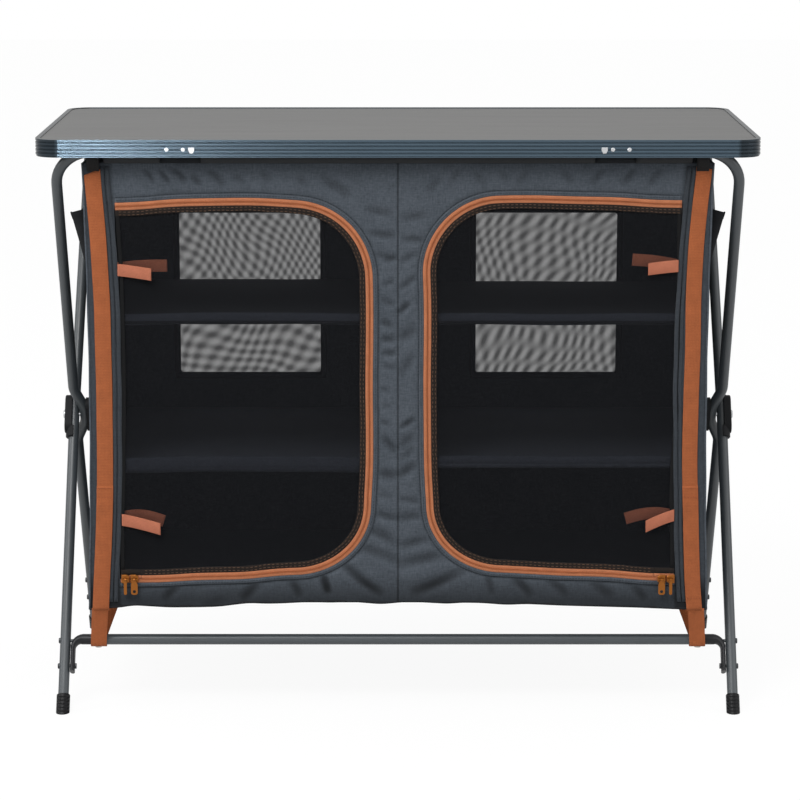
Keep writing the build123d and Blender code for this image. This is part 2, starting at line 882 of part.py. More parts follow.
def corner_straps():
    """Webbing down the front face of the front panel, at both corners."""
    half = strap_width / 2
    middle_z = (cabinet_top + cabinet_base) / 2
    outer = [(strap_centre_base + half, cabinet_base), (strap_centre_waist + half, middle_z)]
    outer += [(strap_centre_top + half, cabinet_top)]
    inner = [(x - strap_width, z) for x, z in outer]
    lines = [
        ThreePointArc(*outer),
        Line(outer[2], inner[2]),
        ThreePointArc(*inner),
        Line(inner[0], outer[0]),
    ]
    return mirrored(upright(make_face(lines), front_face - strap_thickness, strap_thickness))


def band_round_bar(bar_y, bar_z, ends, gap, thickness):
    """Section, in Y and Z, of a band that goes round a bar and whose two ends reach the given points."""
    radius = tube_radius + gap
    outer = radius + thickness

    def tangent_point(end, size, turn):
        dy = end[0] - bar_y
        dz = end[1] - bar_z
        reach = math.hypot(dy, dz)
        angle = math.atan2(dz, dy) + turn * math.acos(size / reach)
        return (bar_y + size * math.cos(angle), bar_z + size * math.sin(angle)), angle

    def strip(size):
        first, start = tangent_point(ends[0], size, 1)
        last, stop = tangent_point(ends[1], size, -1)
        while stop < start:
            stop += 2 * math.pi
        mid = (start + stop) / 2
        bottom = (bar_y + size * math.cos(mid), bar_z + size * math.sin(mid))
        return [Line(ends[0], first), ThreePointArc(first, bottom, last), Line(last, ends[1]), Line(ends[1], ends[0])]

    return make_face(strip(outer)) - make_face(strip(radius))


def side_profile(face, x, width):
    """Extrude a face drawn in Y and Z along X, about x."""
    plane = Plane(origin=(x - width / 2, 0, 0), x_dir=(0, 1, 0), z_dir=(1, 0, 0))
    return extrude(plane * face, amount=width)


def strap_loops(side):
    """Webbing loops that tie the cabinet's base to a lower bar.

    side is the Y sign of the top bar of the frame that carries the bar.
    """
    _, y, z = leg_point(foot_distance(lower_bar_height), 0, side)
    outer_end = (-side * cabinet_half_depth, loop_top)
    inner_end = (-side * (abs(y) - loop_spread), loop_top)
    ends = sorted([outer_end, inner_end])
    section = band_round_bar(y, z, ends, loop_gap, loop_thickness)
    return mirrored(side_profile(section, strap_loop_centre, strap_width))


def snaps(side):
    """Snap caps on the strap loops, below the bar."""
    _, y, z = leg_point(foot_distance(lower_bar_height), 0, side)
    low = z - tube_radius - loop_gap - loop_thickness
    plane = Plane(origin=(strap_loop_centre, y, low), z_dir=(0, 0, -1))
    cap = extrude(plane * Circle(snap_radius), amount=snap_height)
    cap = fillet(cap.faces().sort_by(Axis.Z)[0].edges(), snap_height * 0.5)
    return mirrored(cap)


def hang_band(side, foot_z, gap):
    """Section of a band over a top bar whose two ends come down together at foot_z."""
    y = side * top_bar_half_depth
    near = (side * (cabinet_half_depth - fabric - sleeve_thickness), foot_z)
    far = (side * cabinet_half_depth, foot_z)
    ends = [far, near] if side > 0 else [near, far]
    return band_round_bar(y, top_bar_height, ends, gap, sleeve_thickness)


def top_sleeve(side):
    """Fabric sleeve round a top bar, cut away over the clips of the table."""
    section = hang_band(side, cabinet_top + sheet_clearance, sleeve_gap)
    sleeve = side_profile(section, 0, 2 * sleeve_half_width)
    reach = clip_length / 2 + sleeve_cut_margin
    low = panel_underside - clip_lip_drop - sleeve_cut_margin
    for middle in (-clip_spacing / 2, clip_spacing / 2):
        sleeve -= block((middle - reach, middle + reach), (-table_depth, table_depth), (low, table_height))
    return sleeve


def hang_loops(side, half_width, tube_path):
    """Black webbing loops round the start of a top bar's bends, at the cabinet's corners."""
    foot_z = cabinet_top + sheet_clearance
    band = side_profile(hang_band(side, foot_z - 2 * fabric, hang_loop_gap), hang_loop_centre, hang_loop_width)
    bend_start = half_width - top_bend_radius
    turn = math.degrees(math.asin((hang_loop_centre - bend_start) / top_bend_radius))
    drop = top_bend_radius * (1 - math.cos(math.radians(turn)))
    middle = Pos(hang_loop_centre, 0, top_bar_height)
    band = Pos(0, 0, -drop) * middle * Rot(0, turn, 0) * middle.inverse() * band
    trim = block((0, table_width), (-table_depth, table_depth), (0, foot_z))
    return mirrored(band - trim - sweep_round(tube_path, tube_radius + bracket_clearance))


# Write every node

table_edge = build_table_edge()
rivet_heads = build_edge_rivets()
stud_heads = build_clip_studs()
for head in rivet_heads + stud_heads:
    table_edge -= head
save("table_panel", build_table_panel())
save("table_edge", table_edge)
save("table_battens", *build_battens())
save("table_clips", *build_clips())
save("edge_rivets", *rivet_heads)
save("clip_studs", *stud_heads)

front_path = front_top_path()
rear_path = rear_top_path()
front_tube = tube(front_path)
rear_tube = tube(rear_path)
joggle_reach_x = (joggle_half_width - tube_diameter, joggle_half_width + tube_diameter)
rear_reach_x = (joggle_half_width + tube_radius, rear_top_foot_half_width + tube_diameter)
for hole in mirrored(pivot_rod(joggle_reach_x, pivot_radius + pivot_clearance)):
    front_tube -= hole
for hole in mirrored(pivot_rod(rear_reach_x, pivot_radius)):
    rear_tube -= hole
rear_bar = lower_bar(front_top_foot_half_width, -1)
front_bar = lower_bar(rear_top_foot_half_width, 1)
rear_rivets = bar_rivets(front_top_foot_half_width, -1)
front_rivets = bar_rivets(rear_top_foot_half_width, 1)
for rivet in rear_rivets:
    front_tube -= rivet
    rear_bar -= rivet
for rivet in front_rivets:
    rear_tube -= rivet
    front_bar -= rivet
save("front_top_tube", front_tube)
save("rear_top_tube", rear_tube)
save("rear_lower_bar", rear_bar)
save("front_lower_bar", front_bar)
save("rear_bar_rivets", *rear_rivets)
save("front_bar_rivets", *front_rivets)
save("rear_feet", *foot_caps(front_top_foot_half_width, -1))
save("front_feet", *foot_caps(rear_top_foot_half_width, 1))
save("pivot_pins", *pivot_pins())
save("outer_brackets", *outer_brackets(rear_path))
save("inner_brackets", *inner_brackets(front_path))

save("front_panel", front_panel())
save("back_panel", back_panel())
save("back_windows", *back_windows())
walls = side_panels()
save("side_panel_right", walls[0])
save("side_panel_left", walls[1])
save("roof_panel", roof_panel())
save("floor_panel", floor_panel())
save("centre_divider", centre_divider())
save("floor_boards", *floor_boards())
for level, level_name in enumerate(("lower", "upper")):
    for side, side_name in ((-1, "left"), (1, "right")):
        save(f"shelf_{level_name}_{side_name}", shelf(level, side))
pockets = side_pockets()
save("side_pocket_right", pockets[0])
save("side_pocket_left", pockets[1])

save("inner_ties", *inner_ties())
for name, make in (("zip_track", zip_track), ("door_mesh", door_mesh), ("door_binding", door_binding)):
    right, left = mirrored(make())
    save(f"{name}_right", right)
    save(f"{name}_left", left)
ties = [mirrored(tab) for tab in outer_ties()]
save("door_ties_right", *[pair[0] for pair in ties])
save("door_ties_left", *[pair[1] for pair in ties])
for index, order in enumerate(("outer", "inner")):
    right, left = mirrored(slider(index))
    save(f"slider_right_{order}", right)
    save(f"slider_left_{order}", left)
    right, left = mirrored(pull(index))
    save(f"pull_right_{order}", right)
    save(f"pull_left_{order}", left)

front_straps = corner_straps()
save("corner_straps_front", *front_straps)
save("corner_straps_rear", *[mirror(strap, about=Plane.XZ) for strap in front_straps])
save("strap_loops_front", *strap_loops(1))
save("strap_loops_rear", *strap_loops(-1))
save("strap_snaps_front", *snaps(1))
save("strap_snaps_rear", *snaps(-1))
save("sleeve_front", top_sleeve(-1))
save("sleeve_rear", top_sleeve(1))
save("hang_loops_front", *hang_loops(-1, front_top_half_width, front_path))
save("hang_loops_rear", *hang_loops(1, rear_top_half_width, rear_path))
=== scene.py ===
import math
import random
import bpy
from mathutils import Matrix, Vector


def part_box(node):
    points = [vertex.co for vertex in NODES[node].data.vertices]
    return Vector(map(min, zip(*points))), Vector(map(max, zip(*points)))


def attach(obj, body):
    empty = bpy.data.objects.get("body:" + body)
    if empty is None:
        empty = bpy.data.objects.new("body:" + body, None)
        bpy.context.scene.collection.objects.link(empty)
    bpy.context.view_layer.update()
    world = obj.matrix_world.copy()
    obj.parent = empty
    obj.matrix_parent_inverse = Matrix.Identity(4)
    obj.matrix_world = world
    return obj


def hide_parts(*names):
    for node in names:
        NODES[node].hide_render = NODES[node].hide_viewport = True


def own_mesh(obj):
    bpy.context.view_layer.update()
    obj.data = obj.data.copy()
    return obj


bl_info = {
    "name": "Camping cupboard",
    "version": (1, 0, 0),
    "blender": (4, 5, 0),
    "location": "View3D > Sidebar > Cupboard",
    "description": "Fabric, webbing, finishes and stage of a folding camping cupboard",
    "category": "Object",
}

import bpy
import numpy as np
from bpy.props import FloatProperty, FloatVectorProperty, PointerProperty
from mathutils import Vector, geometry, kdtree

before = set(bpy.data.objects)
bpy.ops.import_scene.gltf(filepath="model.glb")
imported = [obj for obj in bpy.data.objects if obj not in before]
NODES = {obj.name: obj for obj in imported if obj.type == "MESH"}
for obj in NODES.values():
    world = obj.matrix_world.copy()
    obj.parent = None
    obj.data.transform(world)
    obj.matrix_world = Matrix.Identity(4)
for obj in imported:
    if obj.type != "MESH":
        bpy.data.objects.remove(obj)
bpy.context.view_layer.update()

PANEL_LOW, PANEL_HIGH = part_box("front_panel")
FRONT, BACK = PANEL_LOW.y, -PANEL_LOW.y
BASE, TOP = PANEL_LOW.z, PANEL_HIGH.z
HEM_ARCH = 0.012
HEM_TOP = 0.1675
SIDES = (("left", -1), ("right", 1))
CLOTH_THICKNESS = 0.0011
RIGHT, FORWARD, UP = (1.0, 0.0, 0.0), (0.0, -1.0, 0.0), (0.0, 0.0, 1.0)

# Sizes and colours that a user would change


def length(name, description, default, low=0.0, high=1.0):
    return FloatProperty(
        name=name, description=description, default=default, min=low, max=high, unit="LENGTH"
    )


def colour(name, description, default):
    return FloatVectorProperty(
        name=name, description=description, default=default, size=3, min=0.0, max=1.0, subtype="COLOR"
    )


def power(name, description, default):
    return FloatProperty(name=name, description=description, default=default, min=0.0, unit="POWER")


class CupboardCloth(bpy.types.PropertyGroup):
    """The cabinet's woven cloth, lining and mesh."""

    grid: length("Mesh spacing", "Distance between the points of a cloth panel", 0.003, 0.0015, 0.05)
    fold_height: FloatProperty(
        name="Fold height", description="How far the folds of the cloth stand out", default=1.0, min=0.0,
        max=1.0, subtype="FACTOR",
    )
    thread: length("Thread spacing", "Distance between the threads of the woven cloth", 0.0011, 0.0003, 0.01)
    outer_dark: colour("Outer cloth, dark", "Darker threads of the outer cloth", (0.036, 0.045, 0.056))
    outer_light: colour("Outer cloth, light", "Lighter threads of the outer cloth", (0.101, 0.117, 0.139))
    lining: colour("Lining", "Lining, shelves and divider", (0.0112, 0.0128, 0.0172))
    black: colour("Black cloth", "Pockets and hems", (0.007, 0.0075, 0.009))
    mesh_pitch: length("Mesh pitch", "Distance between the holes of the door mesh", 0.0016, 0.0005, 0.02)
    door_mesh: colour("Door mesh", "Threads of the door mesh", (0.0078, 0.0086, 0.0112))
    window_mesh: colour("Window mesh", "Threads of the back windows", (0.03, 0.03, 0.032))
    window_pitch: length("Window pattern", "Distance between light spots of the windows", 0.0150, 0.001, 0.1)


class CupboardWebbing(bpy.types.PropertyGroup):
    """Straps, loops, tie-backs and zip tapes."""

    strap: colour("Corner straps", "Webbing down the corners", (0.41, 0.117, 0.040))
    tie: colour("Tie-backs", "Webbing of the tie-backs", (0.55, 0.185, 0.105))
    tape: colour("Zip tape", "Woven tape of the zips", (0.58, 0.210, 0.098))
    coil: colour("Zip coil", "Coil of the zips", (0.47, 0.145, 0.056))
    binding: colour("Door binding", "Binding inside the zips", (0.006, 0.0055, 0.0055))
    thread: colour("Contrast thread", "Thread that shows on the binding", (0.125, 0.062, 0.032))
    black: colour("Black webbing", "Loops round the top bars", (0.005, 0.0055, 0.006))
    strap_wave: length("Strap waviness", "How far the straps wander sideways", 0.0012, 0.0, 0.01)


class CupboardMetal(bpy.types.PropertyGroup):
    """Table top, tubes and fittings."""

    laminate: colour("Laminate", "Table top", (0.108, 0.107, 0.105))
    edging: colour("Edging", "Ribbed edging of the table top", (0.074, 0.113, 0.148))
    tube: colour("Tubes", "Powder coat of the frame", (0.052, 0.060, 0.066))
    plastic: colour("Plastic", "Feet, clips and brackets", (0.009, 0.0095, 0.011))
    bright: colour("Bright metal", "Rivets and studs", (0.75, 0.76, 0.78))
    gold: colour("Zip metal", "Sliders and pulls", (0.29, 0.096, 0.013))


class CupboardStage(bpy.types.PropertyGroup):
    """Camera, lamps and floor."""

    camera_distance: length("Camera distance", "From the middle of the cupboard, level", 4.645, 0.5, 30.0)
    camera_height: length("Camera height", "Above the floor", 1.321, 0.0, 10.0)
    camera_side: length("Camera sideways", "To the right of the middle", 0.003, -2.0, 2.0)
    camera_pitch: FloatProperty(
        name="Camera pitch", description="Downwards from level", default=math.radians(10.83), unit="ROTATION"
    )
    lens: FloatProperty(
        name="Lens", description="Focal length for a 36 mm sensor", default=136.5, unit="CAMERA"
    )
    key_power: power("Key lamp", "Power of the high front lamp", 105.0)
    left_power: power("Left lamp", "Power of the left lamp", 30.0)
    right_power: power("Right lamp", "Power of the right lamp", 20.0)
    strip_power: power("Strip lamp", "Power of the low strip lamp", 6.0)
    sky: FloatProperty(name="Sky", description="Strength of the light from all round", default=0.65, min=0.0)


# Shader graphs


class Graph:
    """A short way to write a node tree: each method adds a node and returns its output."""

    def __init__(self, tree):
        self.tree = tree
        self.shader = tree.nodes.get("Principled BSDF")

    def node(self, kind, *values, **settings):
        """Add a node, set its own settings and feed its first inputs."""
        made = self.tree.nodes.new(f"ShaderNode{kind}")
        for name, value in settings.items():
            setattr(made, name, value)
        for socket, value in zip(made.inputs, values):
            self.feed(socket, value)
        return made

    def feed(self, socket, value):
        """Link a socket, or set a plain value on it."""
        if isinstance(value, bpy.types.NodeSocket):
            self.tree.links.new(value, socket)
        elif value is not None:
            socket.default_value = (*value, 1.0) if socket.type == "RGBA" and len(value) == 3 else value

    def fill(self, node, **values):
        """Feed inputs by name."""
        for name, value in values.items():
            self.feed(node.inputs[name.replace("_", " ")], value)

    def surface(self, **values):
        """Feed the material's shader."""
        self.fill(self.shader, **values)

    def math(self, operation, a, b=None, clamp=False):
        return self.node("Math", a, b, operation=operation, use_clamp=clamp).outputs[0]

    def plus(self, a, b, clamp=False):
        return self.math("ADD", a, b, clamp)

    def times(self, a, b):
        return self.math("MULTIPLY", a, b)

    def mix(self, factor, a, b):
        """A mix of two colours."""
        made = self.node("Mix", factor, data_type="RGBA")
        self.feed(made.inputs[6], a)
        self.feed(made.inputs[7], b)
        return made.outputs[2]

    def span(self, value, low, high, to_low=0.0, to_high=1.0):
        """A clamped Map Range."""
        return self.node("MapRange", value, low, high, to_low, to_high).outputs[0]

    def noise(self, vector, scale, detail=2.0, roughness=0.5):
        made = self.node("TexNoise")
        self.fill(made, Vector=vector, Scale=scale, Detail=detail, Roughness=roughness)
        return made.outputs["Fac"]

    def stretch(self, vector, *scale):
        """A vector multiplied part by part, or by one number."""
        return self.node("VectorMath", vector, scale * (3 // len(scale)), operation="MULTIPLY").outputs[0]

    def parts(self, vector):
        """X, Y and Z of a vector."""
        return self.node("SeparateXYZ", vector).outputs

    def wave(self, value, spacing):
        """A sine of a length, with one period each spacing."""
        return self.math("SINE", self.times(self.math("DIVIDE", value, spacing), 2 * math.pi))

    def bump(self, height, distance, strength=1.0):
        """Feed a height to the shader's normal."""
        made = self.node("Bump")
        self.fill(made, Strength=strength, Distance=distance, Height=height)
        self.surface(Normal=made.outputs[0])

    def cloth_place(self):
        """Position on the cloth in metres, from the piece's own map."""
        return self.node("UVMap", uv_map="cloth").outputs[0]

    def solid_place(self):
        """Position on a solid piece in metres."""
        return self.node("TexCoord").outputs["Object"]

    def shared(self, name, **values):
        """Place a shared node group, made when first asked for, and feed its inputs."""
        made = self.node("Group")
        made.node_tree = bpy.data.node_groups.get(name) or shared_group(name)
        self.fill(made, **values)
        return made.outputs


def weave(g, given, out):
    """Plain weave with uneven threads."""
    across, along, _ = g.parts(given["Vector"])
    warp, weft = g.wave(across, given["Spacing"]), g.wave(along, given["Spacing"])
    over = g.times(warp, weft)
    ribs = g.plus(g.math("ABSOLUTE", warp), g.math("ABSOLUTE", weft))
    long_threads = g.noise(g.stretch(given["Vector"], 900.0, 60.0, 60.0), 1.0, 1.0)
    cross_threads = g.noise(g.stretch(given["Vector"], 60.0, 900.0, 60.0), 1.0, 1.0)
    threads = g.times(g.plus(long_threads, cross_threads), 0.5)
    patches = g.noise(given["Vector"], 260.0, 3.0, 0.6)
    cloudy = g.noise(given["Vector"], 14.0, 3.0, 0.55)
    speckle = g.span(g.plus(g.times(threads, 0.6), g.times(patches, 0.4)), 0.36, 0.64)
    shade = g.plus(g.times(speckle, given["Mottle"]), g.times(g.span(over, -1.0, 1.0), 0.22))
    shade = g.plus(shade, g.span(cloudy, 0.3, 0.7, -0.08, 0.1), clamp=True)
    g.feed(out["Color"], g.mix(shade, given["Dark"], given["Light"]))
    g.feed(out["Height"], g.plus(g.times(over, 0.35), g.times(ribs, 0.4)))


def webbing_ribs(g, given, out):
    """Ribs across U and along V."""
    across, along, _ = g.parts(given["Vector"])
    zigzag = g.times(g.math("ABSOLUTE", g.wave(across, 0.0042)), 0.0009)
    ribs = g.wave(g.plus(along, zigzag), given["Rib"])
    height = g.plus(g.times(ribs, 0.5), g.times(g.wave(across, 0.0021), 0.28))
    worn = g.noise(given["Vector"], 55.0, 4.0, 0.6)
    fuzz = g.noise(g.stretch(given["Vector"], 1200.0, 500.0, 500.0), 1.0, 1.0)
    # Painted shade: the colour follows the rib height, darker between the ribs; wear and fuzz add random
    # tone.
    shade = g.plus(g.span(height, -0.8, 0.8, 0.0, 0.38), g.span(worn, 0.3, 0.7, 0.0, 0.18))
    shade = g.plus(shade, g.span(fuzz, 0.3, 0.7, 0.0, 0.22))
    g.feed(out["Color"], g.mix(shade, g.stretch(given["Colour"], 0.48), g.stretch(given["Colour"], 1.42)))
    g.feed(out["Height"], height)


def knit(g, given, out):
    """Knitted net along U and V: share of thread and height."""
    across, along, _ = g.parts(given["Vector"])
    rows = g.wave(along, g.times(given["Pitch"], 1.73))
    pattern = g.plus(g.times(g.times(rows, g.wave(across, given["Pitch"])), 0.5), 0.5)
    low, high = g.math("SUBTRACT", given["Hole"], given["Edge"]), g.plus(given["Hole"], given["Edge"])
    g.feed(out["Thread"], g.span(pattern, low, high))
    g.feed(out["Height"], pattern)


def wear(g, given, out):
    """Dust, smears and fine grain over a hard surface."""
    grain = g.noise(given["Vector"], given["Grain"], 2.0, 0.6)
    smear = g.noise(given["Vector"], given["Smear"], 4.0, 0.6)
    specks = g.noise(given["Vector"], g.times(given["Grain"], 0.35), 1.0)
    tone = g.plus(g.span(smear, 0.3, 0.7, 0.35, 0.65), g.span(grain, 0.3, 0.7, -0.12, 0.12))
    g.feed(out["Tone"], g.plus(tone, g.span(specks, 0.62, 0.72, 0.0, 0.2), clamp=True))
    g.feed(out["Gloss"], g.span(smear, 0.25, 0.75))
    g.feed(out["Height"], grain)


# Shared groups: how each is built, its inputs with their defaults, and its outputs
GROUPS = {
    "Woven cloth": (weave, {"Spacing": 0.001, "Dark": (0, 0, 0, 1), "Light": (1, 1, 1, 1), "Mottle": 0.5},
                    ("Color", "Height")),
    "Ribbed webbing": (webbing_ribs, {"Colour": (1, 1, 1, 1), "Rib": 0.0016}, ("Color", "Height")),
    "Knitted net": (knit, {"Pitch": 0.0016, "Hole": 0.5, "Edge": 0.08}, ("Thread", "Height")),
    "Wear and grain": (wear, {"Grain": 900.0, "Smear": 12.0}, ("Tone", "Gloss", "Height")),
}


def shared_group(name):
    """Make one of the shared node groups."""
    build, inputs, outputs = GROUPS[name]
    group = bpy.data.node_groups.new(name, "ShaderNodeTree")
    group.interface.new_socket(name="Vector", in_out="INPUT", socket_type="NodeSocketVector")
    for label, default in inputs.items():
        kind = "NodeSocketColor" if isinstance(default, tuple) else "NodeSocketFloat"
        group.interface.new_socket(name=label, in_out="INPUT", socket_type=kind).default_value = default
    for label in outputs:
        kind = "NodeSocketColor" if label == "Color" else "NodeSocketFloat"
        group.interface.new_socket(name=label, in_out="OUTPUT", socket_type=kind)
    build(Graph(group), group.nodes.new("NodeGroupInput").outputs, group.nodes.new("NodeGroupOutput").inputs)
    return group


def start_material(name, **constants):
    """A new material and its graph, with constants set on its shader."""
    material = bpy.data.materials.new(name)
    material.use_nodes = True
    graph = Graph(material.node_tree)
    graph.surface(**constants)
    return material, graph


def tint(tone, share):
    """A colour made darker or lighter."""
    return tuple(share * channel for channel in tone)


def cloth_material(name, dark, light, mottle=0.62, sheen=0.06):
    """Woven cloth, darkened by the piece's shade attribute, which on the front holds painted shade and a
    darker band beside the straps.
    """
    material, g = start_material(name, Roughness=0.85, Specular_IOR_Level=0.25, Sheen_Weight=sheen,
                                 Sheen_Roughness=0.5)
    woven = g.shared("Woven cloth", Vector=g.cloth_place(), Dark=dark, Light=light, Mottle=mottle,
                     Spacing=bpy.context.scene.cupboard_cloth.thread)
    painted_shade = g.node("Attribute", attribute_name="shade").outputs["Fac"]
    g.surface(Base_Color=g.mix(painted_shade, woven["Color"], tint(dark, 0.2)))
    g.bump(woven["Height"], 0.0002, 0.6)
    return material


def webbing_material(name, tone, rib):
    """Ribbed webbing."""
    material, g = start_material(name, Roughness=0.8, Specular_IOR_Level=0.2, Sheen_Weight=0.04)
    woven = g.shared("Ribbed webbing", Vector=g.cloth_place(), Colour=tuple(tone), Rib=rib)
    g.surface(Base_Color=woven["Color"])
    g.bump(woven["Height"], 0.0003, 0.8)
    return material


def hard_material(name, tone, roughness, metallic=0.0, grain=900.0, height=0.00002, contrast=0.25,
                  specular=0.5):
    """Hard surface with fine grain and smears."""
    material, g = start_material(name, Metallic=metallic, Specular_IOR_Level=specular)
    worn = g.shared("Wear and grain", Vector=g.solid_place(), Grain=grain)
    high = tuple(min(1.0, channel) for channel in tint(tone, 1 + contrast))
    g.surface(Base_Color=g.mix(worn["Tone"], tint(tone, 1 - contrast), high),
              Roughness=g.span(worn["Gloss"], 0.0, 1.0, roughness * 0.85, roughness * 1.15))
    g.bump(worn["Height"], height, 0.6)
    return material


def net_material(name, tone, pitch, cover, thin, edge=0.08):
    """See-through net: what share of its threads and of its holes covers what lies behind."""
    material, g = start_material(name, Roughness=0.8, Specular_IOR_Level=0.2)
    net = g.shared("Knitted net", Vector=g.cloth_place(), Pitch=pitch, Edge=edge)
    fuzz = g.span(g.noise(g.cloth_place(), 600.0, 2.0), 0.3, 0.7)
    g.surface(Base_Color=g.mix(fuzz, tint(tone, 0.7), tuple(tone)),
              Alpha=g.span(net["Thread"], 0.0, 1.0, thin, cover))
    return material


def dress(material, *nodes):
    """Give CAD nodes their material."""
    for node in nodes:
        slots = NODES[node].data.materials
        for index in range(len(slots)):
            slots[index] = material
        if not slots:
            slots.append(material)


# Mesh building


def add_piece(name, points, faces, material, uv=None, smooth=True, shade=None):
    """A mesh object from arrays, with a map in metres called cloth and the share by which it is darkened."""
    mesh = bpy.data.meshes.new(name)
    mesh.from_pydata([tuple(map(float, p)) for p in points], [], [tuple(map(int, f)) for f in faces])
    mesh.validate()
    if uv is not None:
        layer = mesh.uv_layers.new(name="cloth")
        corners = np.zeros(len(mesh.loops), np.int32)
        mesh.loops.foreach_get("vertex_index", corners)
        layer.data.foreach_set("uv", np.asarray(uv, np.float32)[corners].ravel())
    if shade is not None:
        darkened = mesh.attributes.new("shade", "FLOAT", "POINT")
        darkened.data.foreach_set("value", np.asarray(shade, np.float32))
    mesh.polygons.foreach_set("use_smooth", [smooth] * len(mesh.polygons))
    mesh.materials.append(material)
    piece = bpy.data.objects.new(name, mesh)
    bpy.context.scene.collection.objects.link(piece)
    return piece


def thicken(piece, thickness, offset=-1.0):
    """Give a sheet its thickness."""
    solid = piece.modifiers.new("Thickness", "SOLIDIFY")
    solid.thickness = thickness
    solid.offset = offset
    solid.use_even_offset = False
    return piece


def place_on(body, piece, *replaced, slot=None):
    """Put a piece on its body and in place of CAD nodes; the slot is not used."""
    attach(piece, body)
    if replaced:
        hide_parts(*replaced)
    return piece


def on_cabinet(piece, *replaced, slot="cabinet_fabric"):
    """A soft piece of the cabinet, put on the cabinet's body with a mesh of its own."""
    place_on("cabinet", piece, *replaced, slot=slot)
    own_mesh(piece)
    return piece


def grid_faces(rows, columns, ring=False, loop=False):
    """Quads of points stored row by row; ring joins the last column to the first, and loop the last row."""
    faces = []
    for row in range(rows if loop else rows - 1):
        start, below = row * columns, (row + 1) % rows * columns
        for column in range(columns if ring else columns - 1):
            after = (column + 1) % columns
            faces.append((start + column, start + after, below + after, below + column))
    return faces


def bar_faces(rows, count):
    """Faces of a closed bar of rings, with its two ends."""
    ends = [tuple(range(count))[::-1], tuple(range((rows - 1) * count, rows * count))]
    return grid_faces(rows, count, ring=True) + ends


def grid_piece(name, place, u_values, v_values, material):
    """A sheet whose points come from place(u, v) on arrays; the map holds u and v."""
    u, v = np.meshgrid(u_values, v_values)
    points = np.stack(place(u, v), -1).reshape(-1, 3)
    uv = np.stack([u, v], -1).reshape(-1, 2)
    return add_piece(name, points, grid_faces(len(v_values), len(u_values)), material, uv)


def spaced(low, high, step):
    """Even values from low to high, about step apart."""
    return np.linspace(low, high, max(2, int(round((high - low) / step)) + 1))


def line(*coordinates):
    """Points from their coordinates, each an array or one value for all."""
    return np.stack(np.broadcast_arrays(*coordinates), 1)


def distances(path):
    """How far along a path each of its points lies."""
    return np.concatenate([[0.0], np.cumsum(np.linalg.norm(np.diff(path, axis=0), axis=1))])


def picked(rows, steps, spots):
    """Rows of values read off at other distances along their path."""
    return np.stack([np.interp(spots, steps, column) for column in rows.T], 1)


def unit(rows):
    """Rows scaled to length one."""
    return rows / np.linalg.norm(rows, axis=1)[:, None]


def square_to(along, direction):
    """A direction turned square to a path at each of its points."""
    direction = np.broadcast_to(direction, along.shape)
    return unit(direction - along * (direction * along).sum(1)[:, None])


def ramp(value, width):
    """From 0 where a value is 0 to 1 where it is a width."""
    return np.clip(value / width, 0, 1)


def ridge(value, width):
    """A smooth ridge of height 1 round 0."""
    return np.exp(-((value / width) ** 2))


def swept(name, path, sides, outs, section, material, closed=False):
    """A band along a path. The section is a loop of (across, out) pairs; sides and outs are unit vectors."""
    section = np.asarray(section, float)
    sides, outs = (np.broadcast_to(vectors, path.shape)[:, None] for vectors in (sides, outs))
    points = path[:, None] + sides * section[:, :1] + outs * section[:, 1:]
    uv = np.stack(np.broadcast_arrays(section[:, 0], distances(path)[:, None]), -1)
    rows, count = len(path), len(section)
    faces = grid_faces(rows, count, ring=True, loop=True) if closed else bar_faces(rows, count)
    return add_piece(name, points.reshape(-1, 3), faces, material, uv.reshape(-1, 2))


def mirrored(left, *middle):
    """A section from its left half."""
    return [*left, *middle, *((-across, out) for across, out in reversed(left))]


def webbing_section(half, height, *middle):
    """Section of webbing with eased edges, whose middle may be a little higher."""
    left = [(-half, 0.0), (-half, STRAP_THICKNESS), (-half + 0.0006, height)]
    return mirrored(left, *((0.0, crown) for crown in middle))


def rounded_strip(low, high, thickness, back=0.0):
    """Section of a flat band with eased edges."""
    ease = min(0.35 * thickness, 0.2 * (high - low))
    return [
        (low, back), (low, back + thickness - ease), (low + ease, back + thickness),
        ((low + high) / 2, back + thickness * 1.04),
        (high - ease, back + thickness), (high, back + thickness - ease), (high, back),
    ]


def domed_strip(low, high, height):
    """Section of a rounded ridge."""
    angles = np.linspace(0, math.pi, 9)
    middle, half = (low + high) / 2, (high - low) / 2
    return [(middle - half * math.cos(a), height * math.sin(a) ** 0.8) for a in angles]


def side_x(z):
    """Half width of the cabinet at a height: drawn in at the waist."""
    t = (np.asarray(z, float) - BASE) / (TOP - BASE)
    return 0.464 - 0.026 * t + 0.024 * t * t


def smoothed(x, spots, values, shifts):
    """A measured line read off at x and averaged over small shifts."""
    x = np.asarray(x, float)
    return sum(np.interp(x + shift, spots, values) for shift in shifts) / 4


# The bottom hem from left to right: x and height, in millimetres
HEM = np.array((
    (-464, 155.4), (-430, 158.6), (-415, 159.6), (-398, 163.0), (-370, 161.2), (-343, 159.6),
    (-300, 160.0), (-269, 160.8), (-245, 164.0), (-223, 166.6), (-200, 165.4), (-177, 165.8),
    (-150, 167.2), (-130, 168.0), (-102, 167.0), (-70, 168.2), (-48, 166.6), (-26, 164.6), (0, 167.0),
    (15, 168.4), (45, 167.0), (77, 165.2), (92, 167.0), (125, 166.6), (164, 163.6), (192, 165.0),
    (243, 162.6), (300, 161.0), (360, 159.4), (424, 156.6), (464, 155.4),
)) / 1000


def hem_z(x):
    """Height of the bottom hem, arched up and unevenly scalloped."""
    return np.minimum(smoothed(x, HEM[:, 0], HEM[:, 1], (-0.008, -0.003, 0.003, 0.008)), HEM_TOP)


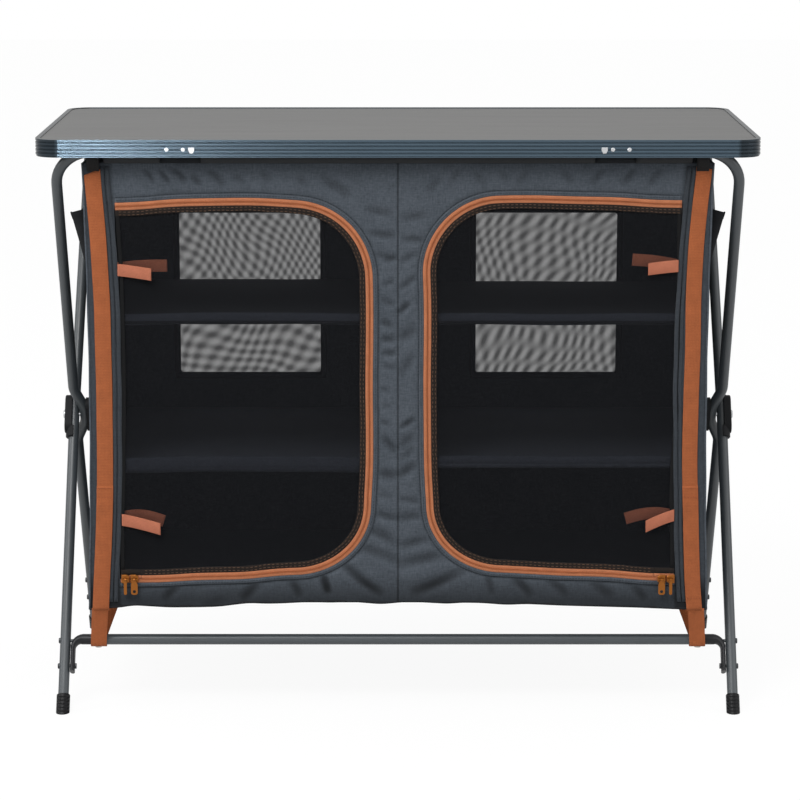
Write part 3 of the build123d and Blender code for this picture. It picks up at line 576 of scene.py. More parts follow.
# Centre lines of the corner straps, left and right: height and distance from the middle
STRAP_WIDTH = 0.0240
STRAP_LAP = 0.345
STRAP_END = 0.8148
STRAP_THICKNESS = 0.0011
LOWER_BAR_Y, LOWER_BAR_Z = 0.18644, 0.098
STRAP_LINES = {
    -1: (
        (0.146, 0.4472), (0.20, 0.4445), (0.26, 0.4408), (0.32, 0.4380), (0.38, 0.4364), (0.50, 0.4347),
        (0.62, 0.4355), (0.72, 0.4406), (0.78, 0.4455), (0.815, 0.4484),
    ),
    1: (
        (0.146, 0.4472), (0.20, 0.4420), (0.26, 0.4388), (0.32, 0.4372), (0.38, 0.4352), (0.50, 0.4331),
        (0.62, 0.4352), (0.72, 0.4400), (0.78, 0.4445), (0.815, 0.4483),
    ),
}


def strap_middle(z, side):
    """Centre line of a corner strap at a height."""
    heights, middles = np.array(STRAP_LINES[side]).T
    return smoothed(z, heights, middles, (-0.015, -0.005, 0.005, 0.015))


def strap_edge(z, side):
    """Inner edge of a corner strap at a height."""
    return strap_middle(z, side) - STRAP_WIDTH / 2


def corner_edge(x, z):
    """Inner edge of the strap on the same side as x."""
    return np.where(x < 0, strap_edge(z, -1), strap_edge(z, 1))


# Outline of a door, and how sewn cloth pulls the front: x and z, and how far they move there in millimetres
DOOR_INNER = 0.043
DOOR_HINGE = 0.415
DOOR_LOW = 0.203
DOOR_HIGH = 0.768
DOOR_RADIUS = 0.107
DOOR_ZIP_START = 0.031
PULLED = (
    (-0.415, 0.768, 0.0, -5.0), (-0.300, 0.768, 0.0, 3.0), (-0.208, 0.768, 0.0, 5.0),
    (-0.122, 0.764, 0.0, -2.0), (-0.078, 0.740, -1.5, -1.5), (-0.043, 0.600, 1.5, 0.0),
    (-0.043, 0.400, 1.0, 0.0), (-0.045, 0.289, -4.5, 1.0), (-0.066, 0.244, -6.5, 8.0),
    (-0.103, 0.214, -4.0, 16.0), (-0.147, 0.203, 0.0, 12.0), (-0.268, 0.203, 0.0, 4.5),
    (-0.400, 0.203, 0.0, -1.5), (0.415, 0.768, 1.0, -0.5), (0.296, 0.768, 0.0, 6.0),
    (0.190, 0.768, 0.0, 9.0), (0.127, 0.765, -2.0, 8.0), (0.086, 0.747, -3.5, 4.5),
    (0.054, 0.709, -2.0, 1.0), (0.043, 0.600, 1.0, 0.0), (0.043, 0.400, 1.0, 0.0),
    (0.044, 0.293, 6.5, 1.0), (0.069, 0.240, 10.5, 12.0), (0.124, 0.206, 4.0, 21.0),
    (0.194, 0.203, 0.0, 13.5), (0.300, 0.203, 0.0, 11.0), (0.400, 0.203, 0.0, 3.0), (0.0, 0.5, 0.0, 0.0),
    (-0.415, 0.648, 5.5, 0.0), (-0.415, 0.550, 6.5, 0.0), (-0.415, 0.470, 6.0, 0.0),
    (-0.415, 0.370, 3.0, 0.0), (-0.415, 0.290, 0.0, 0.0), (-0.415, 0.240, -3.0, 0.0),
    (0.415, 0.700, 2.5, 0.0), (0.415, 0.600, 2.7, 0.0), (0.415, 0.470, 0.6, 0.0),
    (0.415, 0.330, -4.3, 0.0), (0.415, 0.250, -1.5, 0.0),
)
PULL_REACH = 0.045


def pulled(x, z):
    """A point of the front, moved as the sewn cloth pulls it."""
    total = np.full(x.shape, 0.25)
    move_x, move_z = np.zeros(x.shape), np.zeros(x.shape)
    for px, pz, dx, dz in PULLED:
        weight = np.exp(-((x - px) ** 2 + (z - pz) ** 2) / (2 * PULL_REACH**2))
        total += weight
        move_x += weight * dx
        move_z += weight * dz
    return x + move_x / total / 1000, z + move_z / total / 1000


def door_path(side, offset=0.0, step=0.005, closed=False):
    """Points and outward normals of a door's outline from its hinge end at the bottom, round to the top."""
    radius = DOOR_RADIUS + offset
    inner, low, high = DOOR_INNER - offset, DOOR_LOW - offset, DOOR_HIGH + offset
    rows = []
    for x in spaced(-DOOR_HINGE, -(inner + radius), step)[:-1]:
        rows.append((-x, low, 0, -1))
    for angle in spaced(0, math.pi / 2, step / radius)[:-1]:
        sine, cosine = math.sin(angle), math.cos(angle)
        rows.append((inner + radius - radius * sine, low + radius - radius * cosine, -sine, -cosine))
    for z in spaced(low + radius, high - radius, step)[:-1]:
        rows.append((inner, z, -1, 0))
    for angle in spaced(0, math.pi / 2, step / radius)[:-1]:
        sine, cosine = math.sin(angle), math.cos(angle)
        rows.append((inner + radius - radius * cosine, high - radius + radius * sine, -cosine, sine))
    for x in spaced(inner + radius, DOOR_HINGE, step):
        rows.append((x, high, 0, 1))
    if closed:
        for z in spaced(-high, -low, step)[1:-1]:
            rows.append((DOOR_HINGE + offset, -z, 1, 0))
    rows = np.array(rows) * (side, 1, side, 1)
    return rows[:, :2], rows[:, 2:]


def door_band(name, side, section, material, start=0.0, stop=10.0):
    """A band along a door's outline. The section is in (outwards from the door, towards the front)."""
    points, normals = door_path(side)
    flat = line(*pulled(*points.T))
    along = unit(np.gradient(flat, axis=0))
    turned = np.stack([along[:, 1], -along[:, 0]], 1)
    turned *= np.sign((turned * normals).sum(1))[:, None]
    steps = distances(flat)
    stop = min(stop, steps[-1])
    kept = np.concatenate([[start], steps[(steps > start + 0.0004) & (steps < stop - 0.0004)], [stop]])
    x, z = picked(flat, steps, kept).T
    out_x, out_z = picked(turned, steps, kept).T
    return swept(name, line(x, FRONT, z), line(out_x, 0.0, out_z), FORWARD, section, material)


def beside_door(side, offset, stand, stray=0.0):
    """A line of stitches beside a door's outline, offset outwards and standing in front of the panel."""
    points, normals = door_path(side)
    x, z = pulled(*points.T)
    offset = offset + stray * soft_noise(x, z, 210.0, 91 + side)
    return line(x + normals[:, 0] * offset, FRONT - stand, z + normals[:, 1] * offset)


# Folds of the front: from x, z to x, z, width, height and bend, all in millimetres
FRONT_FOLDS = (
    (-25, 594, -6, 583, 6, -2.0, 0), (-26, 566, -3, 566, 7, -2.2, 0), (-24, 546, -3, 545, 6, -2.0, 0),
    (-24, 526, -3, 523, 5, -1.3, 0), (-26, 493, -13, 487, 5, -1.2, 0), (-25, 468, -12, 463, 5, -1.0, 0),
    (-25, 442, -13, 438, 5, -1.5, 0), (-23, 421, -3, 396, 7, -2.2, 0), (-30, 365, -2, 359, 9, -2.4, 0),
    (1, 605, 17, 621, 5, -2.6, 0), (3, 565, 28, 584, 9, -1.9, 0), (5, 512, 24, 546, 8, -1.5, 0),
    (3, 432, 24, 447, 5, -2.6, 0), (2, 402, 24, 423, 9, -1.9, 0), (4, 382, 26, 404, 6, -1.6, 0),
    (2, 359, 24, 378, 8, -2.5, 0), (3, 325, 33, 320, 6, -1.6, 0), (-30, 333, -9, 326, 6, -1.2, 0),
    (-35, 303, -1, 292, 7, -2.1, 0), (1, 294, 34, 299, 7, -1.9, 0), (-44, 280, -1, 252, 10, -2.6, 1),
    (1, 250, 47, 262, 9, -2.3, 1), (-59, 253, -1, 229, 10, -2.4, 2), (1, 225, 67, 237, 10, -2.3, 2),
    (-83, 227, -26, 181, 8, -3.0, -3), (99, 216, 22, 183, 9, -2.7, 2), (-114, 204, -106, 181, 7, -1.8, 0),
    (-25, 626, -3, 617, 6, -1.5, 0), (-24, 646, -4, 654, 5, -1.4, 0), (4, 643, 27, 661, 6, -2.0, 0),
    (-22, 682, -3, 687, 5, -1.5, 0), (4, 682, 29, 694, 6, -1.6, 0), (-350, 818, -334, 798, 5, -2.2, 1),
    (-372, 820, -357, 799, 5, -1.8, 1), (-331, 822, -309, 799, 6, -2.2, 1),
    (-303, 812, -288, 796, 6, -2.0, 0), (-277, 818, -254, 795, 7, -1.9, 1),
    (-240, 812, -225, 800, 6, -1.3, 0), (-200, 816, -186, 802, 7, -1.2, 0),
    (-150, 810, -132, 797, 7, -1.2, 0), (-95, 800, -70, 778, 9, -1.6, 0),
    (-112, 812, -92, 790, 8, -1.3, 0), (-41, 724, -5, 720, 6, -2.0, 0), (7, 716, 42, 714, 6, -2.0, 0),
    (-34, 693, -1, 687, 6, -1.7, 0), (5, 745, 44, 752, 7, -1.5, 0), (-48, 760, -6, 752, 7, -1.5, 0),
    (-116, 214, -103, 180, 7, -2.0, 2), (134, 208, 142, 180, 7, -1.7, 0), (172, 205, 200, 178, 8, -2.0, 1),
    (228, 200, 254, 178, 8, -1.6, 1), (-160, 200, -146, 176, 8, -1.8, 0),
    (-210, 198, -235, 172, 9, -1.7, 1), (-262, 196, -300, 175, 9, 1.4, 1),
    (-330, 194, -352, 172, 8, -1.5, 0), (290, 198, 322, 176, 9, -1.4, 0), (350, 196, 372, 172, 8, -1.3, 0),
    (-390, 200, -404, 170, 8, -1.2, 0), (110, 815, 128, 796, 7, -1.1, 0), (60, 806, 44, 784, 8, -1.3, 0),
    (190, 818, 176, 797, 7, -1.1, 0), (240, 820, 256, 797, 7, -1.3, 0), (300, 820, 284, 797, 7, -1.5, 0),
    (345, 820, 330, 796, 7, -1.7, 0), (385, 820, 368, 796, 7, -1.6, 0), (150, 818, 162, 800, 6, -1.0, 0),
    (90, 820, 76, 798, 7, -1.0, 0),
)


def fold_relief(x, z, folds):
    """How far the folds stand out at points of a flat panel, in metres."""
    out = np.zeros(np.shape(x))
    for x0, z0, x1, z1, width, height, bend in folds:
        run = np.array([x1 - x0, z1 - z0]) / 1000
        size = np.linalg.norm(run)
        way_x, way_z = run / size
        rel_x, rel_z = x - x0 / 1000, z - z0 / 1000
        t = np.clip((rel_x * way_x + rel_z * way_z) / size, -0.3, 1.3)
        away = -rel_x * way_z + rel_z * way_x
        away = away - bend / 1000 * (1 - (2 * np.clip(t, 0, 1) - 1) ** 2)
        beyond = np.maximum(np.maximum(-t, t - 1), 0) * size
        envelope = np.clip(np.sin(np.pi * np.clip(t * 0.84 + 0.08, 0, 1)), 0, 1) ** 0.7
        envelope = envelope * ridge(beyond, 0.006)
        half = width / 1000 * 0.95
        shoulder = 0.35 * ridge(np.abs(away) - 1.9 * half, half)
        out += height / 1000 * envelope * (ridge(away, half) - shoulder)
    return out


def chance_folds(seed, count, place, reach, width, height):
    """Folds at seeded random places, with the most that their ends differ and ranges of width and height."""
    dice = random.Random(seed)
    folds = []
    for _ in range(count):
        x, z = place(dice)
        ends = [x + dice.uniform(-reach[0], reach[0]), z + dice.uniform(-reach[1], reach[1])]
        folds.append((x, z, *ends, dice.uniform(*width), dice.uniform(*height), 2))
    return folds


def soft_noise(x, z, scale, seed):
    """Smooth seeded waviness from a few sines, between about -1 and 1."""
    dice = random.Random(seed)
    out = np.zeros(np.shape(x))
    for _ in range(7):
        angle = dice.uniform(0, math.pi)
        size = scale * dice.uniform(0.6, 1.8)
        out += np.sin((x * math.cos(angle) + z * math.sin(angle)) * size + dice.uniform(0, 6.28))
    return out / 3.2


def within(points, loops):
    """Which points lie inside the first loop and outside the others."""
    first, *holes = [in_loop(points, loop) for loop in loops]
    for hole in holes:
        first &= ~hole
    return first


def in_loop(points, loop):
    """Which points lie inside a closed loop."""
    x, y = points[:, 0], points[:, 1]
    inside = np.zeros(len(points), bool)
    for (x0, y0), (x1, y1) in zip(loop, np.roll(loop, -1, 0)):
        if y0 != y1:
            inside ^= ((y0 > y) != (y1 > y)) & (x < (x1 - x0) * (y - y0) / (y1 - y0) + x0)
    return inside


def nearest(points, targets):
    """Distance from each flat point to the nearest of the targets."""
    tree = kdtree.KDTree(len(targets))
    for index, (x, z) in enumerate(targets):
        tree.insert((x, z, 0.0), index)
    tree.balance()
    return np.array([tree.find((x, z, 0.0))[2] for x, z in points])


def cut_panel(loops, step, extra=()):
    """Triangles of a flat panel, from its outline, those of its holes and a grid of points inside."""
    points, edges = [], []
    for loop in loops:
        first = len(points)
        points += [Vector(p) for p in loop]
        edges += [(first + i, first + (i + 1) % len(loop)) for i in range(len(loop))]
    boundary = np.concatenate(loops)
    low, high = boundary.min(0), boundary.max(0)
    columns, rows = np.meshgrid(spaced(low[0], high[0], step), spaced(low[1], high[1], step * 0.87))
    columns = columns + (np.arange(len(columns)) % 2)[:, None] * step / 2
    inside = np.stack([columns.ravel(), rows.ravel()], 1)
    if len(extra):
        inside = np.concatenate([inside, extra])
    inside = inside[nearest(inside, boundary) > step * 0.45]
    points += [Vector(p) for p in inside[within(inside, loops)]]
    verts, _, faces, *_ = geometry.delaunay_2d_cdt(points, edges, [], 0, 1e-7)
    verts = np.array([tuple(v) for v in verts])
    middles = np.array([verts[list(f)].mean(0) for f in faces])
    return verts, [f for f, wanted in zip(faces, within(middles, loops)) if wanted]


def panel_outline(step):
    """Outline of the front and back panels, anticlockwise from the left bottom corner."""
    bottom_x = spaced(-0.464, 0.464, step)
    right_z = spaced(BASE, TOP, step)[1:]
    top_x = spaced(-0.462, 0.462, step)[1:-1][::-1]
    left = line(-side_x(right_z), right_z)[::-1]
    bottom, right = line(bottom_x, hem_z(bottom_x)), line(side_x(right_z), right_z)
    return np.concatenate([bottom, right, line(top_x, TOP), left])


def stitches(name, runs, outward, material, radius=0.0003, size=0.0030, gap=0.0014):
    """Rows of single stitches along runs of points, standing outwards."""
    points, faces = [], []
    ring, sunk = 5, 0.75
    outward = np.asarray(outward, float)
    lift = np.array([-radius, radius * sunk, radius * sunk, -radius])[:, None]
    for path in runs:
        steps = distances(path)
        for start in np.arange(gap / 2, steps[-1] - size, size + gap):
            centre = picked(path, steps, [start, start + size * 0.2, start + size * 0.8, start + size])
            centre += outward * lift
            along = centre[2] - centre[1]
            along /= np.linalg.norm(along)
            across = np.cross(along, outward)
            first = len(points)
            for point in centre:
                for k in range(ring):
                    angle = 2 * math.pi * k / ring
                    points.append(point + radius * (math.cos(angle) * across + math.sin(angle) * outward))
            faces += [tuple(first + i for i in face) for face in bar_faces(4, ring)]
    return add_piece(name, points, faces, material, np.zeros((len(points), 2)))


# Operators


class CUPBOARD_OT_table(bpy.types.Operator):
    """Finish the table top, its edging and fittings"""

    bl_idname = "cupboard.table"
    bl_label = "Finish the table top"

    def execute(self, context):
        metal = context.scene.cupboard_metal
        laminate, g = start_material("Grey laminate")
        place = g.solid_place()
        worn = g.shared("Wear and grain", Vector=place, Grain=1400.0, Smear=3.0)
        grain = g.noise(g.stretch(place, 3.0, 900.0, 1.0), 1.0, 3.0, 0.6)
        tone = g.plus(g.times(worn["Tone"], 0.6), g.span(grain, 0.35, 0.65, 0.0, 0.5))
        g.surface(Base_Color=g.mix(tone, tint(metal.laminate, 0.5), tint(metal.laminate, 1.35)),
                  Roughness=g.span(worn["Gloss"], 0.0, 1.0, 0.42, 0.55))
        g.bump(worn["Height"], 0.00003, 0.4)
        dress(laminate, "table_panel")
        edging, g = start_material("Ribbed edging", Metallic=0.65, Coat_Weight=0.2, Coat_Roughness=0.25)
        place = g.solid_place()
        worn = g.shared("Wear and grain", Vector=place, Grain=700.0, Smear=9.0)
        lines = g.noise(g.stretch(place, 4.0, 4.0, 2600.0), 1.0, 2.0, 0.6)
        tone = g.plus(g.times(worn["Tone"], 0.5), g.span(lines, 0.3, 0.7, 0.0, 0.5))
        upward = g.parts(g.node("NewGeometry").outputs["True Normal"])[2]
        lip = g.span(upward, 0.75, 0.95, 0.0, 0.82)
        # Painted reflection: the bent corners of the edging are darkened for the dark sides they reflect; the
        # upward-facing lip is darkened as well.
        corner = g.span(g.math("ABSOLUTE", g.parts(place)[0]), 0.493, 0.499, 0.0, 0.8)
        ribbed = g.mix(tone, tint(metal.edging, 0.85), tint(metal.edging, 1.2))
        g.surface(Base_Color=g.mix(g.math("MAXIMUM", lip, corner), ribbed, tint(metal.edging, 0.12)),
                  Roughness=g.span(worn["Gloss"], 0.0, 1.0, 0.17, 0.22))
        g.bump(lines, 0.00004, 0.5)
        dress(edging, "table_edge")
        bright = hard_material("Bright rivets", metal.bright, 0.25, 0.9, 500.0, contrast=0.1)
        dress(bright, "edge_rivets", "clip_studs")
        dress(hard_material("Mill aluminium", (0.42, 0.43, 0.44), 0.42, 0.85, 300.0), "table_battens")
        # Painted light: the clips take the black plastic made 2.6 times lighter, against the shadow under the
        # table top.
        dress(hard_material("Clip plastic, painted lighter", tint(metal.plastic, 2.6), 0.6, grain=1500.0), "table_clips")
        return {"FINISHED"}


class CUPBOARD_OT_frame(bpy.types.Operator):
    """Finish the tube frame, its brackets, rivets and feet"""

    bl_idname = "cupboard.frame"
    bl_label = "Finish the tube frame"

    def execute(self, context):
        metal = context.scene.cupboard_metal
        coat = hard_material("Charcoal powder coat", metal.tube, 0.42, 0.0, 1300.0, 0.00006, 0.2, 0.6)
        dress(coat, "front_top_tube", "rear_top_tube")
        bar, g = start_material("Lower bar coat", Roughness=0.4)
        # Beyond x 0.46, where the bar bends, its colour turns near black, from the plastic colour, with less
        # shine.
        ends = g.span(g.math("ABSOLUTE", g.parts(g.solid_place())[0]), 0.4605, 0.4625)
        worn = g.shared("Wear and grain", Vector=g.solid_place(), Grain=1300.0)
        middle = g.mix(worn["Tone"], metal.tube, tint(metal.tube, 1.5))
        g.surface(Base_Color=g.mix(ends, middle, tint(metal.plastic, 1.3)),
                  Specular_IOR_Level=g.span(ends, 0.0, 1.0, 0.6, 0.3))
        g.bump(worn["Height"], 0.00006, 0.6)
        dress(bar, "front_lower_bar", "rear_lower_bar")
        rivet = hard_material("Dark rivets", (0.05, 0.053, 0.057), 0.4, 0.6, 600.0)
        dress(rivet, "front_bar_rivets", "rear_bar_rivets")
        black = hard_material("Moulded black plastic", metal.plastic, 0.6, grain=1800.0, height=0.00004,
                              specular=0.18)
        dress(black, "outer_brackets", "inner_brackets")
        rubber, g = start_material("Ribbed foot rubber", Roughness=0.4, Specular_IOR_Level=0.22)
        worn = g.shared("Wear and grain", Vector=g.solid_place(), Grain=1200.0)
        dark = tint(metal.plastic, 0.3)
        g.surface(Base_Color=g.mix(worn["Tone"], dark, tint(dark, 1.8)))
        g.bump(g.wave(g.parts(g.solid_place())[2], 0.0048), 0.0003, 0.8)
        dress(rubber, "front_feet", "rear_feet")
        dress(hard_material("Pivot rivets", (0.5, 0.51, 0.52), 0.3, 0.9, 500.0), "pivot_pins")
        return {"FINISHED"}


class CUPBOARD_OT_front(bpy.types.Operator):
    """Make the front panel with its folds, seam, bindings and stitching"""

    bl_idname = "cupboard.front"
    bl_label = "Make the front panel"

    def execute(self, context):
        cloth = context.scene.cupboard_cloth
        outer = cloth_material("Outer cloth", cloth.outer_dark, cloth.outer_light)
        holes = [line(*pulled(*door_path(side, 0.001, cloth.grid, closed=True)[0].T)) for _, side in SIDES]
        seam_z = spaced(BASE + HEM_ARCH + 0.004, TOP - 0.004, cloth.grid)
        seam_x = (-0.0048, -0.0026, -0.0011, 0.0, 0.0011, 0.0026, 0.0048)
        seam = np.concatenate([line(x, seam_z) for x in seam_x])
        flat, faces = cut_panel([panel_outline(cloth.grid), *holes], cloth.grid, seam)
        x, z = flat[:, 0], flat[:, 1]
        from_door = nearest(flat, np.concatenate(holes))
        folds = fold_relief(x, z, FRONT_FOLDS)
        relief = front_relief(x, z, from_door, folds) * cloth.fold_height + seam_relief(x)
        relief -= 0.0006 * ridge(from_door - 0.0124, 0.0011)
        # Painted shade in the shade attribute: in the fold valleys, along the groove beside the piping and in
        # the lower band above the hem, with a dark line down the centre seam's valley and a darker band
        # beside the straps.
        painted_crease_shade = ramp(-folds, 0.0026) * ramp(from_door - 0.011, 0.004)
        shade = 0.6 * painted_crease_shade * cloth.fold_height + 0.9 * ridge(x, 0.0009)
        shade += 0.78 * ramp(0.212 - z, 0.042) + 0.25 * ridge(from_door - 0.0124, 0.0013)
        shade += 0.42 * ramp(np.abs(x) - (corner_edge(x, z) - 0.019), 0.004)
        shade = np.clip(shade, 0, 1)
        panel = add_piece("front_cloth", line(x, FRONT - relief, z), faces, outer, flat, shade=shade)
        thicken(panel, CLOTH_THICKNESS)
        on_cabinet(panel, "front_panel")
        front_trims(cloth, outer)
        return {"FINISHED"}


def front_relief(x, z, from_door, folds):
    """How far the front stands out: folds, puckers and a soft swell, held down where it is sewn."""
    held = ramp(corner_edge(x, z) - 0.0145 - np.abs(x), 0.010) * ramp(TOP - z, 0.008)
    held = held * ramp(from_door - 0.0125, 0.006)
    relief = folds * 1.5 + 0.0010
    relief += 0.0006 * soft_noise(x, z, 45.0, 3) + 0.00035 * soft_noise(x, z, 150.0, 5)
    return 0.0034 * np.tanh(relief * held / 0.0034)


def seam_relief(x):
    """The centre seam: a narrow valley between two sewn-down edges."""
    return -0.0011 * ridge(x, 0.0009) + 0.0005 * ridge(np.abs(x) - 0.0032, 0.0016)


def front_trims(cloth, outer):
    """Piping beside the zips, bindings by the hinge edges, the hem and the stitching."""
    black = cloth_material("Black hem", cloth.black, tint(cloth.black, 2), 0.4)
    dark, light = tint(cloth.outer_dark, 0.52), tint(cloth.outer_light, 0.52)
    bindings = cloth_material("Corner binding cloth", dark, light)
    thread = hard_material("Grey thread", (0.016, 0.020, 0.025), 0.7, grain=800.0, contrast=0.2, specular=0.2)
    runs = []
    for name, side in SIDES:
        piping = door_band(f"zip_flap_{name}", side, domed_strip(0.0054, 0.0120, 0.0017), outer)
        on_cabinet(piping)
        z = spaced(DOOR_LOW - 0.036, TOP - 0.006, 0.008)
        for index, (inset, half, height) in enumerate(((0.0030, 0.0027, 0.0018), (0.0104, 0.0032, 0.0020))):
            wander = 0.0003 * np.sin(z * 60 + index) + 0.0003 * np.sin(z * 17 + side)
            path = line(side * (strap_edge(z, side) - inset + wander), FRONT, z)
            section = domed_strip(-half, half, height)
            strip = swept(f"corner_binding_{name}_{index + 1}", path, RIGHT, FORWARD, section, bindings)
            on_cabinet(strip)
        runs.append(line(side * (strap_edge(z, side) - 0.0065), FRONT - 0.0005, z))
        runs += [beside_door(side, 0.0092, 0.0016), beside_door(side, 0.0132, 0.0)]
    on_cabinet(stitches("front_stitching", runs, FORWARD, thread))
    x = spaced(-0.4635, 0.4635, 0.006)
    section = [(-0.0014, -0.0014), (-0.0019, 0.0), (-0.0014, 0.0014), (0.0020, 0.0012), (0.0020, -0.0014)]
    for name, y, out in (("front", FRONT, -1), ("back", BACK, 1)):
        path = line(x, y - out * 0.0006, hem_z(x))
        on_cabinet(swept(f"hem_binding_{name}", path, UP, (0, out, 0), section, black))


class CUPBOARD_OT_doors(bpy.types.Operator):
    """Make the mesh doors with their bindings and half of each zip"""

    bl_idname = "cupboard.doors"
    bl_label = "Make the doors"

    def execute(self, context):
        cloth = context.scene.cupboard_cloth
        webbing = context.scene.cupboard_webbing
        net = net_material("Door mesh", cloth.door_mesh, cloth.mesh_pitch, 0.80, 0.42)
        bound = cloth_material("Door binding", webbing.binding, tint(webbing.thread, 0.2), 0.5)
        # Painted shade: the hinge edge is darker than the black cloth and without sheen, to read as the shade
        # inside the cupboard.
        black = cloth_material("Hinge edge", tint(cloth.black, 0.3), tint(cloth.black, 0.6), 0.4, sheen=0.0)
        tape = webbing_material("Zip tape", webbing.tape, 0.0012)
        coil = webbing_material("Zip coil", webbing.coil, 0.0014)
        thread = hard_material("Contrast thread", webbing.thread, 0.7, grain=800.0, contrast=0.3)
        door_tape = rounded_strip(-0.0055, -0.0002, 0.0010, 0.0003)
        door_edge = rounded_strip(-0.0145, -0.0052, 0.0012)
        panel_tape = rounded_strip(0.0002, 0.0055, 0.0010, 0.0003)
        stub = (0.001, 0.0306)
        for name, side in SIDES:
            body = f"door_{name}"
            loop, _ = door_path(side, -0.0045, cloth.grid, closed=True)
            flat, faces = cut_panel([line(*pulled(np.clip(loop[:, 0], -0.4135, 0.4135), loop[:, 1]))], 0.012)
            x, z = flat[:, 0], flat[:, 1]
            sag = 0.0012 * soft_noise(x, z, 16.0, 11 + side)
            leaf = add_piece(f"door_net_{name}", line(x, FRONT + 0.0006 - sag * 0.4, z), faces, net, flat)
            place_on(body, leaf, f"door_mesh_{name}", slot="door_mesh")
            z = spaced(DOOR_LOW + 0.0135, DOOR_HIGH - 0.006, 0.008)
            hinge_x, hinge_z = pulled(np.full(len(z), side * 0.4110), z)
            hinge = swept(f"door_hinge_edge_{name}", line(hinge_x, FRONT, hinge_z), (side, 0, 0), FORWARD,
                          rounded_strip(-0.0025, 0.0035, 0.0008), black)
            place_on(body, hinge, slot="door_binding")
            for part, section, material, slot, *replaced in (
                ("edge", door_edge, bound, "door_binding", f"door_binding_{name}"),
                ("zip_tape", door_tape, tape, "zip_tape"),
                ("zip_coil", rounded_strip(-0.0013, -0.0002, 0.0007, 0.0012), coil, "zip_tape"),
            ):
                band = door_band(f"door_{part}_{name}", side, section, material, DOOR_ZIP_START)
                place_on(body, band, *replaced, slot=slot)
            runs = [beside_door(side, offset, 0.0013, 0.0007)[7:] for offset in (-0.0082, -0.0125)]
            dots = stitches(f"door_stitching_{name}", runs, FORWARD, thread, 0.0004, 0.0036, 0.0030)
            place_on(body, dots, slot="door_binding")
            for part, section, material, slot, ends, *replaced in (
                ("panel_zip_tape", panel_tape, tape, "zip_tape", (), f"zip_track_{name}"),
                ("zip_end_tape", door_tape, tape, "zip_tape", stub),
                ("zip_end_edge", rounded_strip(-0.0145, -0.0058, 0.0011), bound, "door_binding", stub),
                ("panel_zip_coil", rounded_strip(0.0002, 0.0013, 0.0007, 0.0012), coil, "zip_tape", ()),
            ):
                on_cabinet(door_band(f"{part}_{name}", side, section, material, *ends), *replaced, slot=slot)
        return {"FINISHED"}


class CUPBOARD_OT_zip_metal(bpy.types.Operator):
    """Finish the zip sliders and pulls"""

    bl_idname = "cupboard.zip_metal"
    bl_label = "Finish the zip sliders"

    def execute(self, context):
        gold = hard_material("Gold finish", context.scene.cupboard_metal.gold, 0.32, 0.7, 400.0, contrast=0.2)
        for name, _ in SIDES:
            for order in ("outer", "inner"):
                dress(gold, f"slider_{name}_{order}", f"pull_{name}_{order}")
        return {"FINISHED"}


# Tie-backs of each side, upper and lower: height, reach, droop and curl of those outside;
# height, rise, reach and sway of those inside
OUTER_TIES = {
    -1: ((0.6705, 0.0500, 0.0060, 0.007), (0.2935, 0.0580, 0.0125, 0.008)),
    1: ((0.6765, 0.0450, 0.0040, 0.007), (0.3005, 0.0430, 0.0155, 0.008)),
}
INNER_TIES = {
    -1: ((0.6700, 0.0060, 0.083, 0.0015), (0.2930, -0.0030, 0.073, 0.0065)),
    1: ((0.6740, 0.0110, 0.078, 0.0015), (0.2960, -0.0020, 0.083, 0.0065)),
}


class CUPBOARD_OT_tie_backs(bpy.types.Operator):
    """Make the tie-back tabs outside and inside the doors"""

    bl_idname = "cupboard.tie_backs"
    bl_label = "Make the tie-backs"

    def execute(self, context):
        webbing = context.scene.cupboard_webbing
        cloth = webbing_material("Tie webbing", webbing.tie, 0.0013)
        # Painted light: the ties inside take a copy of the tie webbing made 1.7 times lighter.
        lightened_tie_webbing = webbing_material("Inner tie webbing, painted lighter", tint(webbing.tie, 1.7), 0.0013)
        t = spaced(0, 1, 0.05)
        bow = np.sin(math.pi * t)
        for name, side in SIDES:
            for index, (height, reach, droop, curl) in enumerate(OUTER_TIES[side]):
                x, y = side * (0.4125 - reach * t), FRONT - 0.0022 - curl * t**1.6
                path = line(x, y, height - droop * t**1.15)
                tab = tie_band(f"tie_outside_{name}_{index + 1}", path, cloth, upright=True)
                replaced = [] if index else [f"door_ties_{name}"]
                place_on(f"door_{name}", tab, *replaced, slot="tie_webbing")
        for name, side in SIDES:
            for index, (height, rise, reach, sway) in enumerate(INNER_TIES[side]):
                x, y = side * (0.423 - reach * t), FRONT + 0.0045 + 0.004 * bow
                path = line(x, y, height + rise * t + sway * bow)
                tab = tie_band(f"tie_inside_{name}_{index + 1}", path, lightened_tie_webbing)
                replaced = ["inner_ties"] if side < 0 and index == 0 else []
                on_cabinet(tab, *replaced, slot="tie_webbing")
        return {"FINISHED"}


def tie_band(name, path, material, upright=False):
    """Webbing along a line, on edge; an upright band keeps its ends vertical."""
    along = unit(np.gradient(path, axis=0))
    up = np.broadcast_to(UP, path.shape) if upright else square_to(along, UP)
    outs = unit(np.cross(along, up))
    outs *= -np.sign(outs[:, 1])[:, None]
    section = mirrored([(-0.009, -0.0005), (-0.009, 0.0004), (-0.0086, 0.0006)])
    return swept(name, path, up, outs, section, material)


